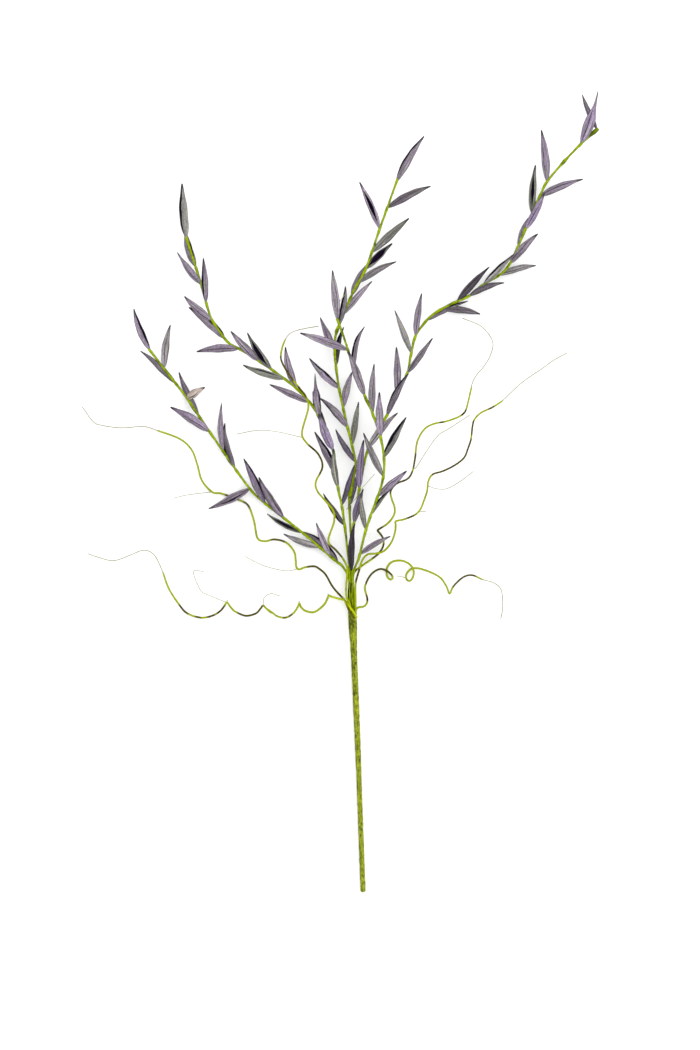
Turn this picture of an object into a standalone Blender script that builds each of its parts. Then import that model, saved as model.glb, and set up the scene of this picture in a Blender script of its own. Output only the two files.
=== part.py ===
"""A cut spray of narrow lavender-grey leaves, lying on its side.

A lime wrapped stem carries five leafy twigs, and six thin curling tendrils leave it just above the wrap.
X runs to the right of the spray, Y from the cut end towards the tips, and Z up from the surface it lies on.
"""

import math
import random

import bpy
import bmesh
from mathutils import Vector

# Driving dimensions, in metres
MM = 0.001
SEAT_GAP = 0.6 * MM

STEM_CUT_RADIUS = 2.9 * MM
STEM_WRAP_RADIUS = 5.2 * MM
STEM_CUT_Y = -316.5 * MM
STEM_REST_Y = -116 * MM
STEM_CROWN_HEIGHT = 14.5 * MM
STEM_TAPER = 2.2
STEM_SIDES = 12
STEM_STEP = 18 * MM
FLAT_WITHIN = 0.05 * MM

POCKET_RADIUS = 3.95 * MM
POCKET_DEPTH = 10 * MM
POCKET_SIDES = 16
STRAND_RING_RADIUS = 2.3 * MM
STRAND_RADIUS = 1.15 * MM
BUNDLE_LENGTH = 37 * MM
CROWN_LEAN = 0.04
TENDRIL_RING_RADIUS = 4.7 * MM

TWIG_RADIUS = 1.6 * MM
TWIG_TIP_RADIUS = 1.15 * MM
TWIG_SIDES = 6
TENDRIL_RADIUS = 0.85 * MM
TENDRIL_TIP_RADIUS = 0.45 * MM
TENDRIL_SIDES = 5
MOST_TURN = math.radians(24)
LONGEST_STEP = 17 * MM
SHORTEST_STEP = 2 * MM
POINTS_PER_SPAN = 16
SHARP_ANGLE = math.radians(50)

LEAF_WIDTH_SHARE = 0.18
LEAF_CUP_SHARE = 0.30
LEAF_THICKNESS = 0.7 * MM
LEAF_ROOT_WIDTH = 1.7 * MM
LEAF_HOOK = 1.6 * MM
HOOK_FROM = 0.6
RIM_SHARE = 0.9
MIDRIB_THICKNESS = 0.9 * MM
LIFT_RANGE = (-6, 10)
ARCH_RANGE = (0.5 * MM, 2.5 * MM)
HALVINGS = 24
# Shares of a blade's length, and its width there as a share of its full width
LEAF_RINGS = ((0.10, 0.40), (0.30, 0.88), (0.52, 1.0), (0.75, 0.70), (0.92, 0.27))

# The stem's centre line: X, and Y from its wrapped top, in millimetres
STEM_LINE = ((12.3, -316.5), (10.2, -260), (6.8, -164), (3.2, -78), (0, 0))

# Each twig: its place in the bundle in degrees, its centre line (X, Y, Z in millimetres, chosen by hand), and its
# leaves. A leaf is: millimetres along the twig, lean off it in degrees (clockwise seen from above), length,
# turn of its back in degrees (0 has the back up), sideways bow in millimetres (positive to its left), and lift
# in degrees, where None leaves the lift to a seeded draw.
TWIGS = {
    "left_outer_branch": (
        198,
        ((-11, 51, 13.5), (-21, 59, 13), (-56, 89, 12), (-97, 121, 12), (-116, 139, 12), (-146, 181, 13),
         (-172, 219, 15), (-189, 244, 16), (-213, 275, 18), (-230, 297, 20)),
        (
            (348, 16, 50, 30, 1, 8), (299, -8, 55, -60, -2, 10), (319, 46, 50, 160, 1, None),
            (253, 8, 56, 60, 0, -18), (277, 94, 20, 0, 1, 45), (231, -24, 52, 10, -2, None),
            (205, 33, 55, 0, 2, None), (179, 20, 53, 130, 2, None), (152, -78, 52, 140, -1, 3),
            (128, 26, 56, -30, 1, 6), (102, 21, 54, 10, 2, None), (73, -12, 46, 150, -1, -8),
            (50, -21, 44, 170, 1, None), (29, -10, 44, -60, 0, 14), (32, 26, 42, 0, 1, 4),
        ),
    ),
    "left_inner_branch": (
        126,
        ((-4, 58, 19), (-6, 75, 22), (-8, 94, 25), (-12, 121, 29), (-16, 140, 32), (-21, 180, 36), (-30, 208, 38),
         (-37, 220, 39), (-51, 240, 39), (-74, 261, 38), (-107, 284, 36), (-128, 297, 33), (-140, 304, 31),
         (-150, 317, 29), (-159, 331, 27), (-166, 352, 25), (-171, 371, 23), (-178, 393, 21), (-188, 424, 20)),
        (
            (452, 17, 58, -30, 2, 6), (419, 2, 42, 180, 2, -14), (395, -22, 46, 0, 1, None),
            (374, 14, 50, -30, 1, 6), (352, -22, 42, 10, 1, None), (328, -8, 53, 150, -2, 10),
            (308, -35, 48, 0, -2, None), (281, 13, 46, 0, 1, 6), (264, 20, 50, 180, 2, None),
            (246, -20, 50, 150, 0, None), (229, 33, 49, 10, 2, -3), (207, -28, 50, 0, 0, None),
            (187, 30, 49, 20, 0, None), (171, 4, 44, 100, 0, 10), (146, -9, 44, 0, 1, -12),
            (104, 2, 43, 0, 2, 12), (118, -22, 55, 40, -2, None), (60, -27, 44, 150, 0, None),
            (82, 26, 48, 20, -1, 12),
        ),
    ),
    "centre_branch": (
        270,
        ((0, 58, 12.5), (-1, 77, 13), (-3, 118, 14), (-2, 136, 15), (4, 163, 16), (3, 174, 17), (-7, 216, 19),
         (-14, 248, 20), (-19, 283, 22), (-19, 310, 23), (-13, 328, 24), (2, 363, 26), (16, 389, 28), (31, 432, 30),
         (51, 487, 32)),
        (
            (467, 11, 59, 20, 1, 4), (434, 43, 55, 30, 1, None), (409, -44, 54, 180, -1, None),
            (385, 30, 53, 20, 0, None), (361, 21, 42, 160, 0, -12), (343, 31, 50, 30, 1, None),
            (325, 6, 46, 150, 0, -14), (303, 18, 50, 10, 1, None), (290, -12, 44, -60, 0, 14),
            (243, 16, 46, 120, 1, -10), (262, -24, 40, 20, 0, None), (217, -36, 48, 40, 0, None),
            (195, 27, 42, 0, 1, -8), (174, -29, 46, -40, -1, None), (152, 22, 50, 170, 0, -2),
            (132, -18, 44, 30, 0, None), (82, 15, 42, 150, -1, -6), (7, -3, 53, 60, 1, -10),
        ),
    ),
    "right_inner_branch": (
        342,
        ((3, 49, 16.5), (8, 62, 22), (14, 87, 31), (21, 109, 38), (33, 143, 48), (36, 167, 53), (32, 196, 58),
         (21, 228, 60), (14, 243, 60), (-2, 286, 57), (-8, 305, 55), (-17, 330, 52)),
        (
            (307, 14, 57, 0, 0, None), (270, -54, 57, 0, -2, None), (247, 30, 49, 100, 2, None),
            (215, 2, 53, -20, 1, 10), (193, 23, 56, -10, 2, None), (165, 12, 51, 10, 0, 8),
            (142, 33, 52, 160, 0, None), (121, -34, 54, 0, 1, None), (97, 29, 43, 0, 0, None),
            (74, 18, 36, 160, 1, -8), (57, -25, 42, 160, 1, None), (31, 47, 42, 10, 1, None),
        ),
    ),
    "right_outer_branch": (
        54,
        ((0, 58, 20.5), (0, 75, 21.5), (2, 100, 23), (8, 138, 25), (17, 181, 28), (27, 203, 29), (40, 223, 30),
         (52, 248, 30), (62, 269, 29), (66, 288, 27), (71, 310, 25), (80, 324, 23), (90, 335, 21), (108, 346, 18),
         (132, 357, 15), (147, 369, 14), (168, 382, 14), (178, 393, 14), (185, 407, 15), (195, 430, 16),
         (214, 474, 19), (221, 487, 20), (237, 506, 22), (256, 526, 24), (278, 546, 26)),
        (
            (609, -72, 43, 40, -1, None), (584, -30, 60, 0, -2, None), (527, -42, 59, 0, -1, None),
            (509, 44, 53, 20, 1, None), (485, -19, 56, 180, 1, None), (468, 4, 46, 10, -1, 14),
            (446, -4, 36, 10, 1, -12), (425, 10, 46, 10, 1, 6), (386, -12, 49, 150, -1, 8),
            (406, 18, 45, 20, 1, -20), (366, 9, 43, 30, 1, None), (350, -25, 54, 30, 0, None),
            (330, 36, 46, 0, 2, -25), (309, 24, 52, 140, 1, -12), (287, -15, 49, 0, 1, None),
            (268, -32, 52, 0, 0, None), (244, 16, 49, 20, -1, None), (217, -26, 54, 10, -1, None),
            (192, -4, 53, 30, 1, 10), (148, 21, 52, 10, 2, None), (102, -5, 56, -10, 2, 8),
            (62, 8, 40, 0, 1, 8),
        ),
    ),
}

# Each tendril: its place round the bundle in degrees, and its centre line in millimetres, chosen by hand
TENDRILS = {
    "lower_left_tendril": (
        184,
        ((-5.4, 7, 13), (-8.5, 12, 11), (-16.5, 15, 8), (-22, 17, 6), (-26.5, 15.5, 5), (-31, 9, 4.5), (-36, 4, 4),
         (-42, -0.5, 3.5), (-47.5, -1, 3.5), (-54, 1, 3.5), (-58, 5, 4), (-60, 9, 5), (-62, 4.5, 6), (-66.5, -2, 5),
         (-75, -7, 4), (-84, -6, 4), (-90, -2, 4.5), (-97, 3, 5), (-101, 6.5, 6), (-104, 3, 7), (-109.5, -2.5, 6),
         (-121, -5, 4), (-133, 0, 4), (-138, 5, 4.5), (-142, 10, 5.5), (-145, 6, 6.5), (-150, 0, 6), (-160, -5.5, 4.5),
         (-173, -7, 3.5), (-187.5, -2, 3.5), (-196.5, 8, 4), (-208, 26, 5), (-215.5, 46.5, 6), (-223, 62, 7),
         (-230, 68, 8), (-238.5, 69, 8), (-251, 64, 8), (-270, 57.5, 7), (-287, 61, 6), (-300, 65.5, 6)),
    ),
    "upper_left_tendril": (
        150,
        ((-5, 8, 17), (-8, 14, 16.5), (-13.5, 18, 15), (-22.5, 28.5, 11), (-30, 41.5, 7), (-37, 48, 5.5),
         (-43, 51, 5), (-53, 50, 4.5), (-60.5, 47.5, 4.5), (-63.5, 51, 4.5), (-64, 58, 4.5), (-66, 68, 4.5),
         (-75, 78, 4), (-88, 81.5, 3.5), (-99.5, 79.5, 3.5), (-107.5, 83.5, 3.5), (-111.5, 103, 3), (-118, 120, 2.5),
         (-129, 126.5, 2), (-148, 133.5, 2), (-159, 135.5, 2.5), (-170.5, 148.5, 4), (-175.5, 166, 5),
         (-182, 183, 6), (-195.5, 195.5, 6), (-221, 205, 6), (-237, 209.5, 6), (-262, 208, 7), (-284.5, 211, 8),
         (-294, 215.5, 9), (-306, 232, 11)),
    ),
    "middle_left_tendril": (
        108,
        ((-2.6, 8, 20), (-6, 15, 20.5), (-7, 25, 20), (-6, 38, 20.5), (-5.5, 49, 22), (-10, 59, 23), (-18, 69, 23.5),
         (-25.5, 76, 24), (-27, 81, 24.5), (-25.5, 87, 26), (-20.5, 102, 31), (-21.5, 114, 36), (-31.5, 126.5, 39),
         (-39.5, 136.5, 40), (-41, 146.5, 41), (-33.5, 163.5, 43), (-38.5, 178, 45), (-52, 191, 46),
         (-56.5, 202.5, 46), (-49.5, 229.5, 46), (-52, 242, 47), (-59, 251.5, 48), (-70, 265.5, 50),
         (-79, 281, 52), (-80, 291, 53), (-75.5, 306, 54), (-68, 314.5, 54), (-53, 319, 52), (-38, 321.5, 50)),
    ),
    "lower_right_tendril": (
        -14,
        ((4.9, 3.2, 13.2), (8, 4.8, 12.5), (13, 5.5, 11.5), (16.5, 9, 11), (17, 15, 10), (14.5, 27, 9), (19, 38.5, 7.5),
         (25, 45, 6.5), (32, 48, 6), (39, 46, 5.5), (44.5, 41.5, 5), (46, 38, 4.6), (43.5, 36, 4), (40, 39, 3.4),
         (39, 46, 2.8), (41, 52, 3), (46, 56.5, 3.5), (56, 57.5, 4.5), (65, 53.5, 5.5), (69.5, 46.5, 6), (69, 39, 6),
         (65.5, 34.5, 5.4), (61.5, 36.5, 4.6), (61.5, 42, 3.6), (66, 47.5, 3), (73.5, 49, 3), (86, 45.5, 4),
         (99.5, 38.5, 5), (106.5, 29, 5.5), (110.5, 20, 6), (114.5, 28, 7), (125.5, 38.5, 7), (136, 41, 7),
         (148, 36, 7), (160, 32.5, 7), (168, 26, 7), (170.5, 15, 6), (170.5, 2.5, 5), (168.5, -8.5, 4)),
    ),
    "middle_right_tendril": (
        38,
        ((3.8, 12, 17.6), (3.8, 31, 18), (7.5, 45.5, 17.5), (11.5, 58, 17), (17.5, 64.5, 16.5), (26, 65.5, 16),
         (36, 68.5, 16), (44.5, 78.5, 17), (48, 90.5, 19), (49.5, 100, 20), (54, 104, 21), (61.5, 106, 22),
         (74, 111.5, 23), (81, 122.5, 24), (85, 135.5, 24), (86, 147, 24), (91, 155, 24), (103, 159, 23),
         (116, 165.5, 22), (126.5, 174, 21), (131, 184.5, 20), (134.5, 195.5, 19), (136, 209, 18),
         (138.5, 217.5, 17), (146, 225, 16), (159.5, 231.5, 15), (170.5, 239, 14), (182, 250, 14), (194.5, 261, 13),
         (215, 275, 12), (227.5, 284, 12), (243.5, 293, 12)),
    ),
    "upper_right_tendril": (
        -50,
        ((3.2, 12, 10.8), (3.2, 35, 10.3), (5, 46, 10), (13, 52, 9.5), (24.5, 61, 10), (32.5, 69.5, 11),
         (35.5, 77, 12), (33.5, 84, 13), (30.5, 89, 14), (32, 93.5, 15), (38, 97, 16), (45.5, 104.5, 17),
         (48, 114, 18), (45.5, 126.5, 19), (43.5, 136, 20), (50, 144.5, 21), (62.5, 150, 22), (68, 158.5, 23),
         (71, 173, 25), (73.5, 192, 28), (81.5, 206, 30), (92, 212, 31), (106.5, 215, 31), (120, 220, 30),
         (127.5, 226, 29), (131, 237, 28), (134, 250, 27), (136, 259, 27), (141, 268, 26), (149.5, 278, 26),
         (156.5, 290.5, 26), (158.5, 305.5, 27), (146, 322, 28), (124.5, 331.5, 28)),
    ),
}


def clear_scene():
    for thing in list(bpy.data.objects):
        bpy.data.objects.remove(thing, do_unlink=True)


def make_material(name, colour, roughness):
    material = bpy.data.materials.new(name)
    material.use_nodes = True
    shader = material.node_tree.nodes["Principled BSDF"]
    shader.inputs["Base Color"].default_value = (*colour, 1)
    shader.inputs["Roughness"].default_value = roughness
    shader.inputs["Metallic"].default_value = 0
    return material


def smooth_points(points):
    """Many points of a smooth curve through the given ones."""
    ends = [2 * points[0] - points[1], *points, 2 * points[-1] - points[-2]]
    curve = []
    for before, start, stop, after in zip(ends, ends[1:], ends[2:], ends[3:]):
        for step in range(POINTS_PER_SPAN):
            t = step / POINTS_PER_SPAN
            curve.append(0.5 * (
                2 * start
                + (stop - before) * t
                + (2 * before - 5 * start + 4 * stop - after) * t ** 2
                + (3 * start - before - 3 * stop + after) * t ** 3
            ))
    curve.append(points[-1].copy())
    return curve


def lengths_in_plan(curve):
    """How far along the curve each of its points is, as seen from straight above."""
    lengths = [0.0]
    for first, second in zip(curve, curve[1:]):
        lengths.append(lengths[-1] + (second - first).xy.length)
    return lengths


def stations_along(curve, longest_step):
    """The curve thinned to points that follow its bends: each lies where it has turned or run far enough."""
    kept = [curve[0]]
    heading = curve[1] - curve[0]
    turned = 0.0
    run = 0.0
    for here, following in zip(curve[1:], curve[2:]):
        ahead = following - here
        turned += heading.angle(ahead)
        run += heading.length
        heading = ahead
        if turned > MOST_TURN or run > longest_step:
            kept.append(here)
            turned = 0.0
            run = 0.0
    if (curve[-1] - kept[-1]).length < SHORTEST_STEP:
        kept.pop()
    kept.append(curve[-1])
    return kept


def tube_mesh(name, centres, radii, sides, first_side=0.0):
    """A closed tube through the centres, with flat ends, whose rings keep the same turn along it."""
    made = bmesh.new()
    across = Vector((0, 0, 1))
    rings = []
    for index, (centre, radius) in enumerate(zip(centres, radii)):
        before = centres[max(index - 1, 0)]
        after = centres[min(index + 1, len(centres) - 1)]
        along = (after - before).normalized()
        across = (across - across.dot(along) * along).normalized()
        beside = along.cross(across)
        ring = []
        for side in range(sides):
            angle = first_side + math.tau * side / sides
            offset = radius * (math.cos(angle) * across + math.sin(angle) * beside)
            ring.append(made.verts.new(centre + offset))
        rings.append(ring)
    for ring, following in zip(rings, rings[1:]):
        for side in range(sides):
            other = (side + 1) % sides
            made.faces.new((ring[side], ring[other], following[other], following[side]))
    made.faces.new(rings[0][::-1])
    made.faces.new(rings[-1])
    bmesh.ops.recalc_face_normals(made, faces=made.faces)
    mesh = bpy.data.meshes.new(name)
    made.to_mesh(mesh)
    made.free()
    return mesh


def make_object(name, mesh, material, collection=None):
    thing = bpy.data.objects.new(name, mesh)
    mesh.materials.append(material)
    mesh.shade_smooth()
    mesh.set_sharp_from_angle(angle=SHARP_ANGLE)
    (collection or bpy.context.scene.collection).objects.link(thing)
    return thing


def ease(share):
    return share * share * (3 - 2 * share)


def stem_radius(y):
    """The wrapped stem thickens towards its top."""
    share = (y - STEM_CUT_Y) / -STEM_CUT_Y
    return STEM_CUT_RADIUS + (STEM_WRAP_RADIUS - STEM_CUT_RADIUS) * max(share, 0) ** STEM_TAPER


def stem_height(y):
    """The stem lies on its lowest flat as far as STEM_REST_Y, then rises to the crown."""
    resting = stem_radius(y) * math.cos(math.pi / STEM_SIDES)
    share = max(0.0, (y - STEM_REST_Y) / -STEM_REST_Y)
    return resting + (STEM_CROWN_HEIGHT - stem_radius(0) * math.cos(math.pi / STEM_SIDES)) * ease(share)


def make_stem(material):
    """The wrapped stem, with the round pocket in its top that the bundle of strands stands in."""
    line = smooth_points([Vector((x * MM, y * MM, 0)) for x, y in STEM_LINE])
    centres = [Vector((p.x, p.y, stem_height(p.y))) for p in stations_along(line, STEM_STEP)]
    radii = [stem_radius(centre.y) for centre in centres]
    half_side = math.pi / STEM_SIDES
    stem = make_object("main_stem", tube_mesh("main_stem", centres, radii, STEM_SIDES, half_side), material)
    for corner in stem.data.vertices:
        if corner.co.z < FLAT_WITHIN:
            corner.co.z = 0
    top = centres[-1]
    inward = (centres[-1] - centres[-2]).normalized()
    ends = [top - inward * POCKET_DEPTH, top + inward * POCKET_DEPTH]
    pocket = make_object("pocket_cutter", tube_mesh("pocket", ends, [POCKET_RADIUS] * 2, POCKET_SIDES), material)
    cut = stem.modifiers.new("pocket", "BOOLEAN")
    cut.operation = "DIFFERENCE"
    cut.object = pocket
    pocket.hide_render = True
    pocket.display_type = "WIRE"


def crown_place(angle, radius, y):
    """A point beside the crown's centre line, which leans a little to the left."""
    turn = math.radians(angle)
    return Vector((radius * math.cos(turn) - CROWN_LEAN * y, y, STEM_CROWN_HEIGHT + radius * math.sin(turn)))


def as_metres(points):
    return [Vector(point) * MM for point in points]


def twig_line(angle, points):
    tail = [crown_place(angle, STRAND_RING_RADIUS, y) for y in (SEAT_GAP - POCKET_DEPTH, 0.0, BUNDLE_LENGTH)]
    return smooth_points(tail + as_metres(points))


def twig_radius(share, run):
    """A strand in the bundle is thin. Above the crown the twig is at its fullest, and it tapers to its tip."""
    swelling = ease(min(1.0, max(0.0, (run - POCKET_DEPTH - BUNDLE_LENGTH) / BUNDLE_LENGTH)))
    full = TWIG_RADIUS + (TWIG_TIP_RADIUS - TWIG_RADIUS) * share
    return STRAND_RADIUS + (full - STRAND_RADIUS) * swelling


def leaf_points(root, bearing, lift, turn, length, bow, arch):
    """The rings of a cupped blade, each of three points on its back and three in its hollow, and its tip."""
    ahead = Vector((math.cos(bearing) * math.cos(lift), math.sin(bearing) * math.cos(lift), math.sin(lift)))
    level = Vector((-math.sin(bearing), math.cos(bearing), 0))
    back = ahead.cross(level) * math.cos(turn) + level * math.sin(turn)
    side = ahead.cross(back)
    width = length * LEAF_WIDTH_SHARE

    def place(share, across, depth):
        swing = 4 * share * (1 - share)
        hook = LEAF_HOOK * (max(0.0, share - HOOK_FROM) / (1 - HOOK_FROM)) ** 2
        middle = root + ahead * length * share + level * bow * swing + back * (arch * swing - hook)
        return middle + side * across + back * (depth + LEAF_THICKNESS / 2)

    rings = []
    for share, fullness in ((0.0, LEAF_ROOT_WIDTH / width), *LEAF_RINGS):
        half = width * fullness / 2
        cup = LEAF_CUP_SHARE * half
        rings.append([
            place(share, -half, -cup), place(share, 0, 0), place(share, half, -cup),
            place(share, half * RIM_SHARE, -cup - LEAF_THICKNESS), place(share, 0, -MIDRIB_THICKNESS),
            place(share, -half * RIM_SHARE, -cup - LEAF_THICKNESS),
        ])
    return rings, place(1.0, 0, -LEAF_THICKNESS / 2)


def lowest_point(*leaf):
    rings, tip = leaf_points(*leaf)
    return min(point.z for point in (*sum(rings, []), tip))


def lift_clear_of_surface(root, bearing, lift, *shape):
    """The lift asked for, or as much more as keeps the whole leaf above the surface that the spray lies on."""
    if lowest_point(root, bearing, lift, *shape) >= 0:
        return lift
    low, high = lift, 0.0
    for _ in range(HALVINGS):
        middle = (low + high) / 2
        if lowest_point(root, bearing, middle, *shape) < 0:
            low = middle
        else:
            high = middle
    return high


def leaf_mesh(name, rings, tip):
    made = bmesh.new()
    rings = [[made.verts.new(point) for point in ring] for ring in rings]
    tip = made.verts.new(tip)
    around = len(rings[0])
    for ring, following in zip(rings, rings[1:]):
        for index in range(around):
            other = (index + 1) % around
            made.faces.new((ring[index], ring[other], following[other], following[index]))
    made.faces.new(rings[0][::-1])
    for index in range(around):
        made.faces.new((rings[-1][index], rings[-1][(index + 1) % around], tip))
    bmesh.ops.recalc_face_normals(made, faces=made.faces)
    mesh = bpy.data.meshes.new(name)
    made.to_mesh(mesh)
    made.free()
    return mesh


def make_branch(name, angle, points, leaves, material):
    """A twig with its leaves, joined into one piece."""
    curve = twig_line(angle, points)
    lengths = lengths_in_plan(curve)
    centres = stations_along(curve, LONGEST_STEP)
    runs = [lengths[curve.index(centre)] for centre in centres]
    radii = [twig_radius(run / lengths[-1], run) for run in runs]
    branch = make_object(name, tube_mesh(name, centres, radii, TWIG_SIDES), material)
    blades = bpy.data.collections.new(name + "_leaves")
    bpy.context.scene.collection.children.link(blades)
    draw = random.Random(name)
    for index, (along, lean, length, turn, bow, lift) in enumerate(leaves):
        drawn_lift = draw.uniform(*LIFT_RANGE)
        arch = draw.uniform(*ARCH_RANGE)
        run = min(POCKET_DEPTH + BUNDLE_LENGTH + along * MM, lengths[-1] - TWIG_TIP_RADIUS)
        here = min(range(1, len(lengths) - 1), key=lambda i: abs(lengths[i] - run))
        heading = curve[here + 1] - curve[here - 1]
        bearing = math.atan2(heading.y, heading.x) - math.radians(lean)
        lift = math.radians(drawn_lift if lift is None else lift)
        shape = math.radians(turn), length * MM / math.cos(lift), bow * MM, arch
        lift = lift_clear_of_surface(curve[here], bearing, lift, *shape)
        mesh = leaf_mesh(f"{name}_leaf", *leaf_points(curve[here], bearing, lift, *shape))
        make_object(f"{name}_leaf_{index}", mesh, material, blades)
    join_leaves(branch, blades)


def join_leaves(branch, blades):
    join = branch.modifiers.new("leaves", "BOOLEAN")
    join.operation = "UNION"
    join.operand_type = "COLLECTION"
    join.collection = blades
    join.solver = "EXACT"
    bpy.context.view_layer.objects.active = branch
    bpy.ops.object.modifier_apply(modifier=join.name)
    for blade in list(blades.objects):
        bpy.data.objects.remove(blade, do_unlink=True)
    bpy.data.collections.remove(blades)


def make_tendril(name, angle, points, material):
    root = crown_place(angle, TENDRIL_RING_RADIUS, SEAT_GAP)
    curve = smooth_points([root] + as_metres(points))
    lengths = lengths_in_plan(curve)
    centres = stations_along(curve, LONGEST_STEP)
    shares = [lengths[curve.index(centre)] / lengths[-1] for centre in centres]
    radii = [TENDRIL_RADIUS + (TENDRIL_TIP_RADIUS - TENDRIL_RADIUS) * ease(share) for share in shares]
    make_object(name, tube_mesh(name, centres, radii, TENDRIL_SIDES), material)


def move_to_origin():
    """The origin lies under the middle of the spray's box, on the surface that it lies on."""
    bpy.context.view_layer.update()
    graph = bpy.context.evaluated_depsgraph_get()
    corners = []
    for thing in bpy.data.objects:
        if not thing.hide_render:
            corners += [corner.co.copy() for corner in thing.evaluated_get(graph).data.vertices]
    lows, highs = ([pick(corner[axis] for corner in corners) for axis in range(3)] for pick in (min, max))
    for thing in bpy.data.objects:
        thing.location = (-(lows[0] + highs[0]) / 2, -(lows[1] + highs[1]) / 2, -lows[2])


def main():
    clear_scene()
    lime = make_material("lime_wrap", (0.34, 0.36, 0.08), 0.75)
    vine = make_material("olive_vine", (0.25, 0.25, 0.07), 0.6)
    leaf = make_material("lavender_leaf", (0.25, 0.21, 0.26), 0.8)
    make_stem(lime)
    for name, (angle, points, leaves) in TWIGS.items():
        make_branch(name, angle, points, leaves, leaf)
    for name, (angle, points) in TENDRILS.items():
        make_tendril(name, angle, points, vine)
    move_to_origin()


main()
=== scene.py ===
"""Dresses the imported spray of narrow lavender-grey leaves, and lays it on a pale table under a soft light.

The spray lies down. X runs to its right, Y from its cut end towards its tips, and Z up from the table.
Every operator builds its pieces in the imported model's own frame, in metres.
"""

import math
import random

import bpy
import numpy as np
from bpy.props import FloatProperty, FloatVectorProperty, PointerProperty
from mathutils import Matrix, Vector, noise


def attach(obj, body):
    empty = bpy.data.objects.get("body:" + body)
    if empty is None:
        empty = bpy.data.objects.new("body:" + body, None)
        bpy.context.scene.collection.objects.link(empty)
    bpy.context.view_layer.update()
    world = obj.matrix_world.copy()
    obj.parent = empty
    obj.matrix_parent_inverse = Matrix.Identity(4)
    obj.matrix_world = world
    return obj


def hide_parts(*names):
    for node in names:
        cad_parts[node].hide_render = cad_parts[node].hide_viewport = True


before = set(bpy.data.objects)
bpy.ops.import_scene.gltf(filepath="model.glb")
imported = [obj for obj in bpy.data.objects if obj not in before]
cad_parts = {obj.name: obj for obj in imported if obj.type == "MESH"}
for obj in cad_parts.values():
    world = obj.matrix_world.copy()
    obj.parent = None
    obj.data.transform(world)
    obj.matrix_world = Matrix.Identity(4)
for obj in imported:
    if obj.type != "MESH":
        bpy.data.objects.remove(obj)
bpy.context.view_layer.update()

bl_info = {
    "name": "Lavender leaf spray",
    "version": (1, 0, 0),
    "blender": (4, 5, 0),
    "location": "View3D > Sidebar > Spray",
    "description": "Builds a cut spray of rolled lavender-grey leaves, a wrapped stem and curling tendrils",
    "category": "Add Mesh",
}

MM = 0.001

# From the tables' places, which are round the stem's wrapped top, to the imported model's own
TO_FRAME = np.array((13.813, -134.8245, 0)) * MM

# The crown, where the strands of the twigs stand in the wrapped stem
SEAT_GAP = 0.6 * MM
POCKET_DEPTH = 10 * MM
BUNDLE_LENGTH = 37 * MM
STRAND_RING_RADIUS = 2.3 * MM
TENDRIL_RING_RADIUS = 4.7 * MM
CROWN_LEAN = 0.04
CROWN_BEND = 0.9 * MM
CROWN_HEIGHT = 14.5 * MM

# The stem's centre line: X, and Y from its wrapped top, in millimetres
STEM_LINE = ((12.3, -316.5), (10.2, -260), (6.8, -164), (3.2, -78), (0, 0))
STEM_WRAP_RADIUS = 5.2 * MM
# How thick the wrapped stem really is: its Y and radius, in millimetres
STEM_GIRTH = (
    (-316.5, 2.85), (-190, 2.85), (-150, 3.15), (-100, 3.3), (-62, 3.45), (-36, 3.9), (-18, 4.75),
    (0, 4.95),
)
STEM_REST_Y = -116 * MM
POCKET_RADIUS = 3.95 * MM
# The rings past each end of the wrap: the share of its last full ring, and how far past it. The wrap turns
# in over its rim, down into the pocket that the twigs stand in, and its cut end is a little domed.
RIM_STEPS = ((0.90, 0.25 * MM), (POCKET_RADIUS / STEM_WRAP_RADIUS, 0.0), (0.70, -2 * MM), (0.66, -8 * MM))
FOOT_STEPS = ((0.50, 2.0 * MM), (0.82, 1.5 * MM), (0.96, 0.7 * MM))

STRAND_RADIUS = 1.15 * MM
TWIG_RADIUS = 1.38 * MM
TWIG_TIP_RADIUS = 1.34 * MM
TENDRIL_RADIUS = 0.85 * MM
POINTS_PER_SPAN = 16
# How many places a ring of each has, the pitch of the twigs' tape, and how many smudges there are
STEM_SIDES = 44
TWIG_SIDES = 16
TENDRIL_SIDES = 10
SPUR_SIDES = 8
HAIR_SIDES = 6
TWIG_TAPE_PITCH = 5.2 * MM
SMALL_STEM_SMUDGES = 70
TWIG_SMUDGE_EVERY = 22 * MM

# How far a leaf's tip hooks back, the share of its length that this starts at, and the range that its lift
# in degrees and its arch are drawn from
LEAF_HOOK = 1.6 * MM
HOOK_FROM = 0.6
LIFT_RANGE = (-6, 10)
ARCH_RANGE = (0.5 * MM, 2.5 * MM)

# Shares of a blade's length, and its width there as a share of its full width
LEAF_OUTLINE = (
    (0.0, 0.22), (0.05, 0.4), (0.1, 0.6), (0.15, 0.74), (0.22, 0.87), (0.3, 0.95), (0.4, 1.0), (0.5, 0.98),
    (0.6, 0.9), (0.7, 0.76), (0.8, 0.57), (0.88, 0.41), (0.94, 0.3), (0.975, 0.23), (1.0, 0.15),
)

# How many places a blade's rings have across its sheet, and the shares of its length that they stand at
LEAF_ACROSS = 21
LEAF_SHARES = np.concatenate([
    np.linspace(0, 0.12, 5)[:-1], np.linspace(0.12, 0.88, 26), np.linspace(0.88, 0.995, 7)[1:],
])
# A roll that leaves less than this open, in degrees to each side, shows a slit, and one whose back is
# turned further than the second looks up
SLIT_UNDER = 90
SLIT_UP_TURN = 140

# What one pixel of the picture covers, how many it is high, the camera's sensor, and the place that it
# looks straight down on. Then the side and the place of the soft lamp.
PIXEL = 1.1307 * MM
IMAGE_HEIGHT = 1050
SENSOR = 36.0
CAMERA_OVER = (11.33 * MM, -36.95 * MM, 22 * MM)
LAMP_SIDE = 4.0
LAMP_PLACE = (0.8, 0.6, 3.4)

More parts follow.
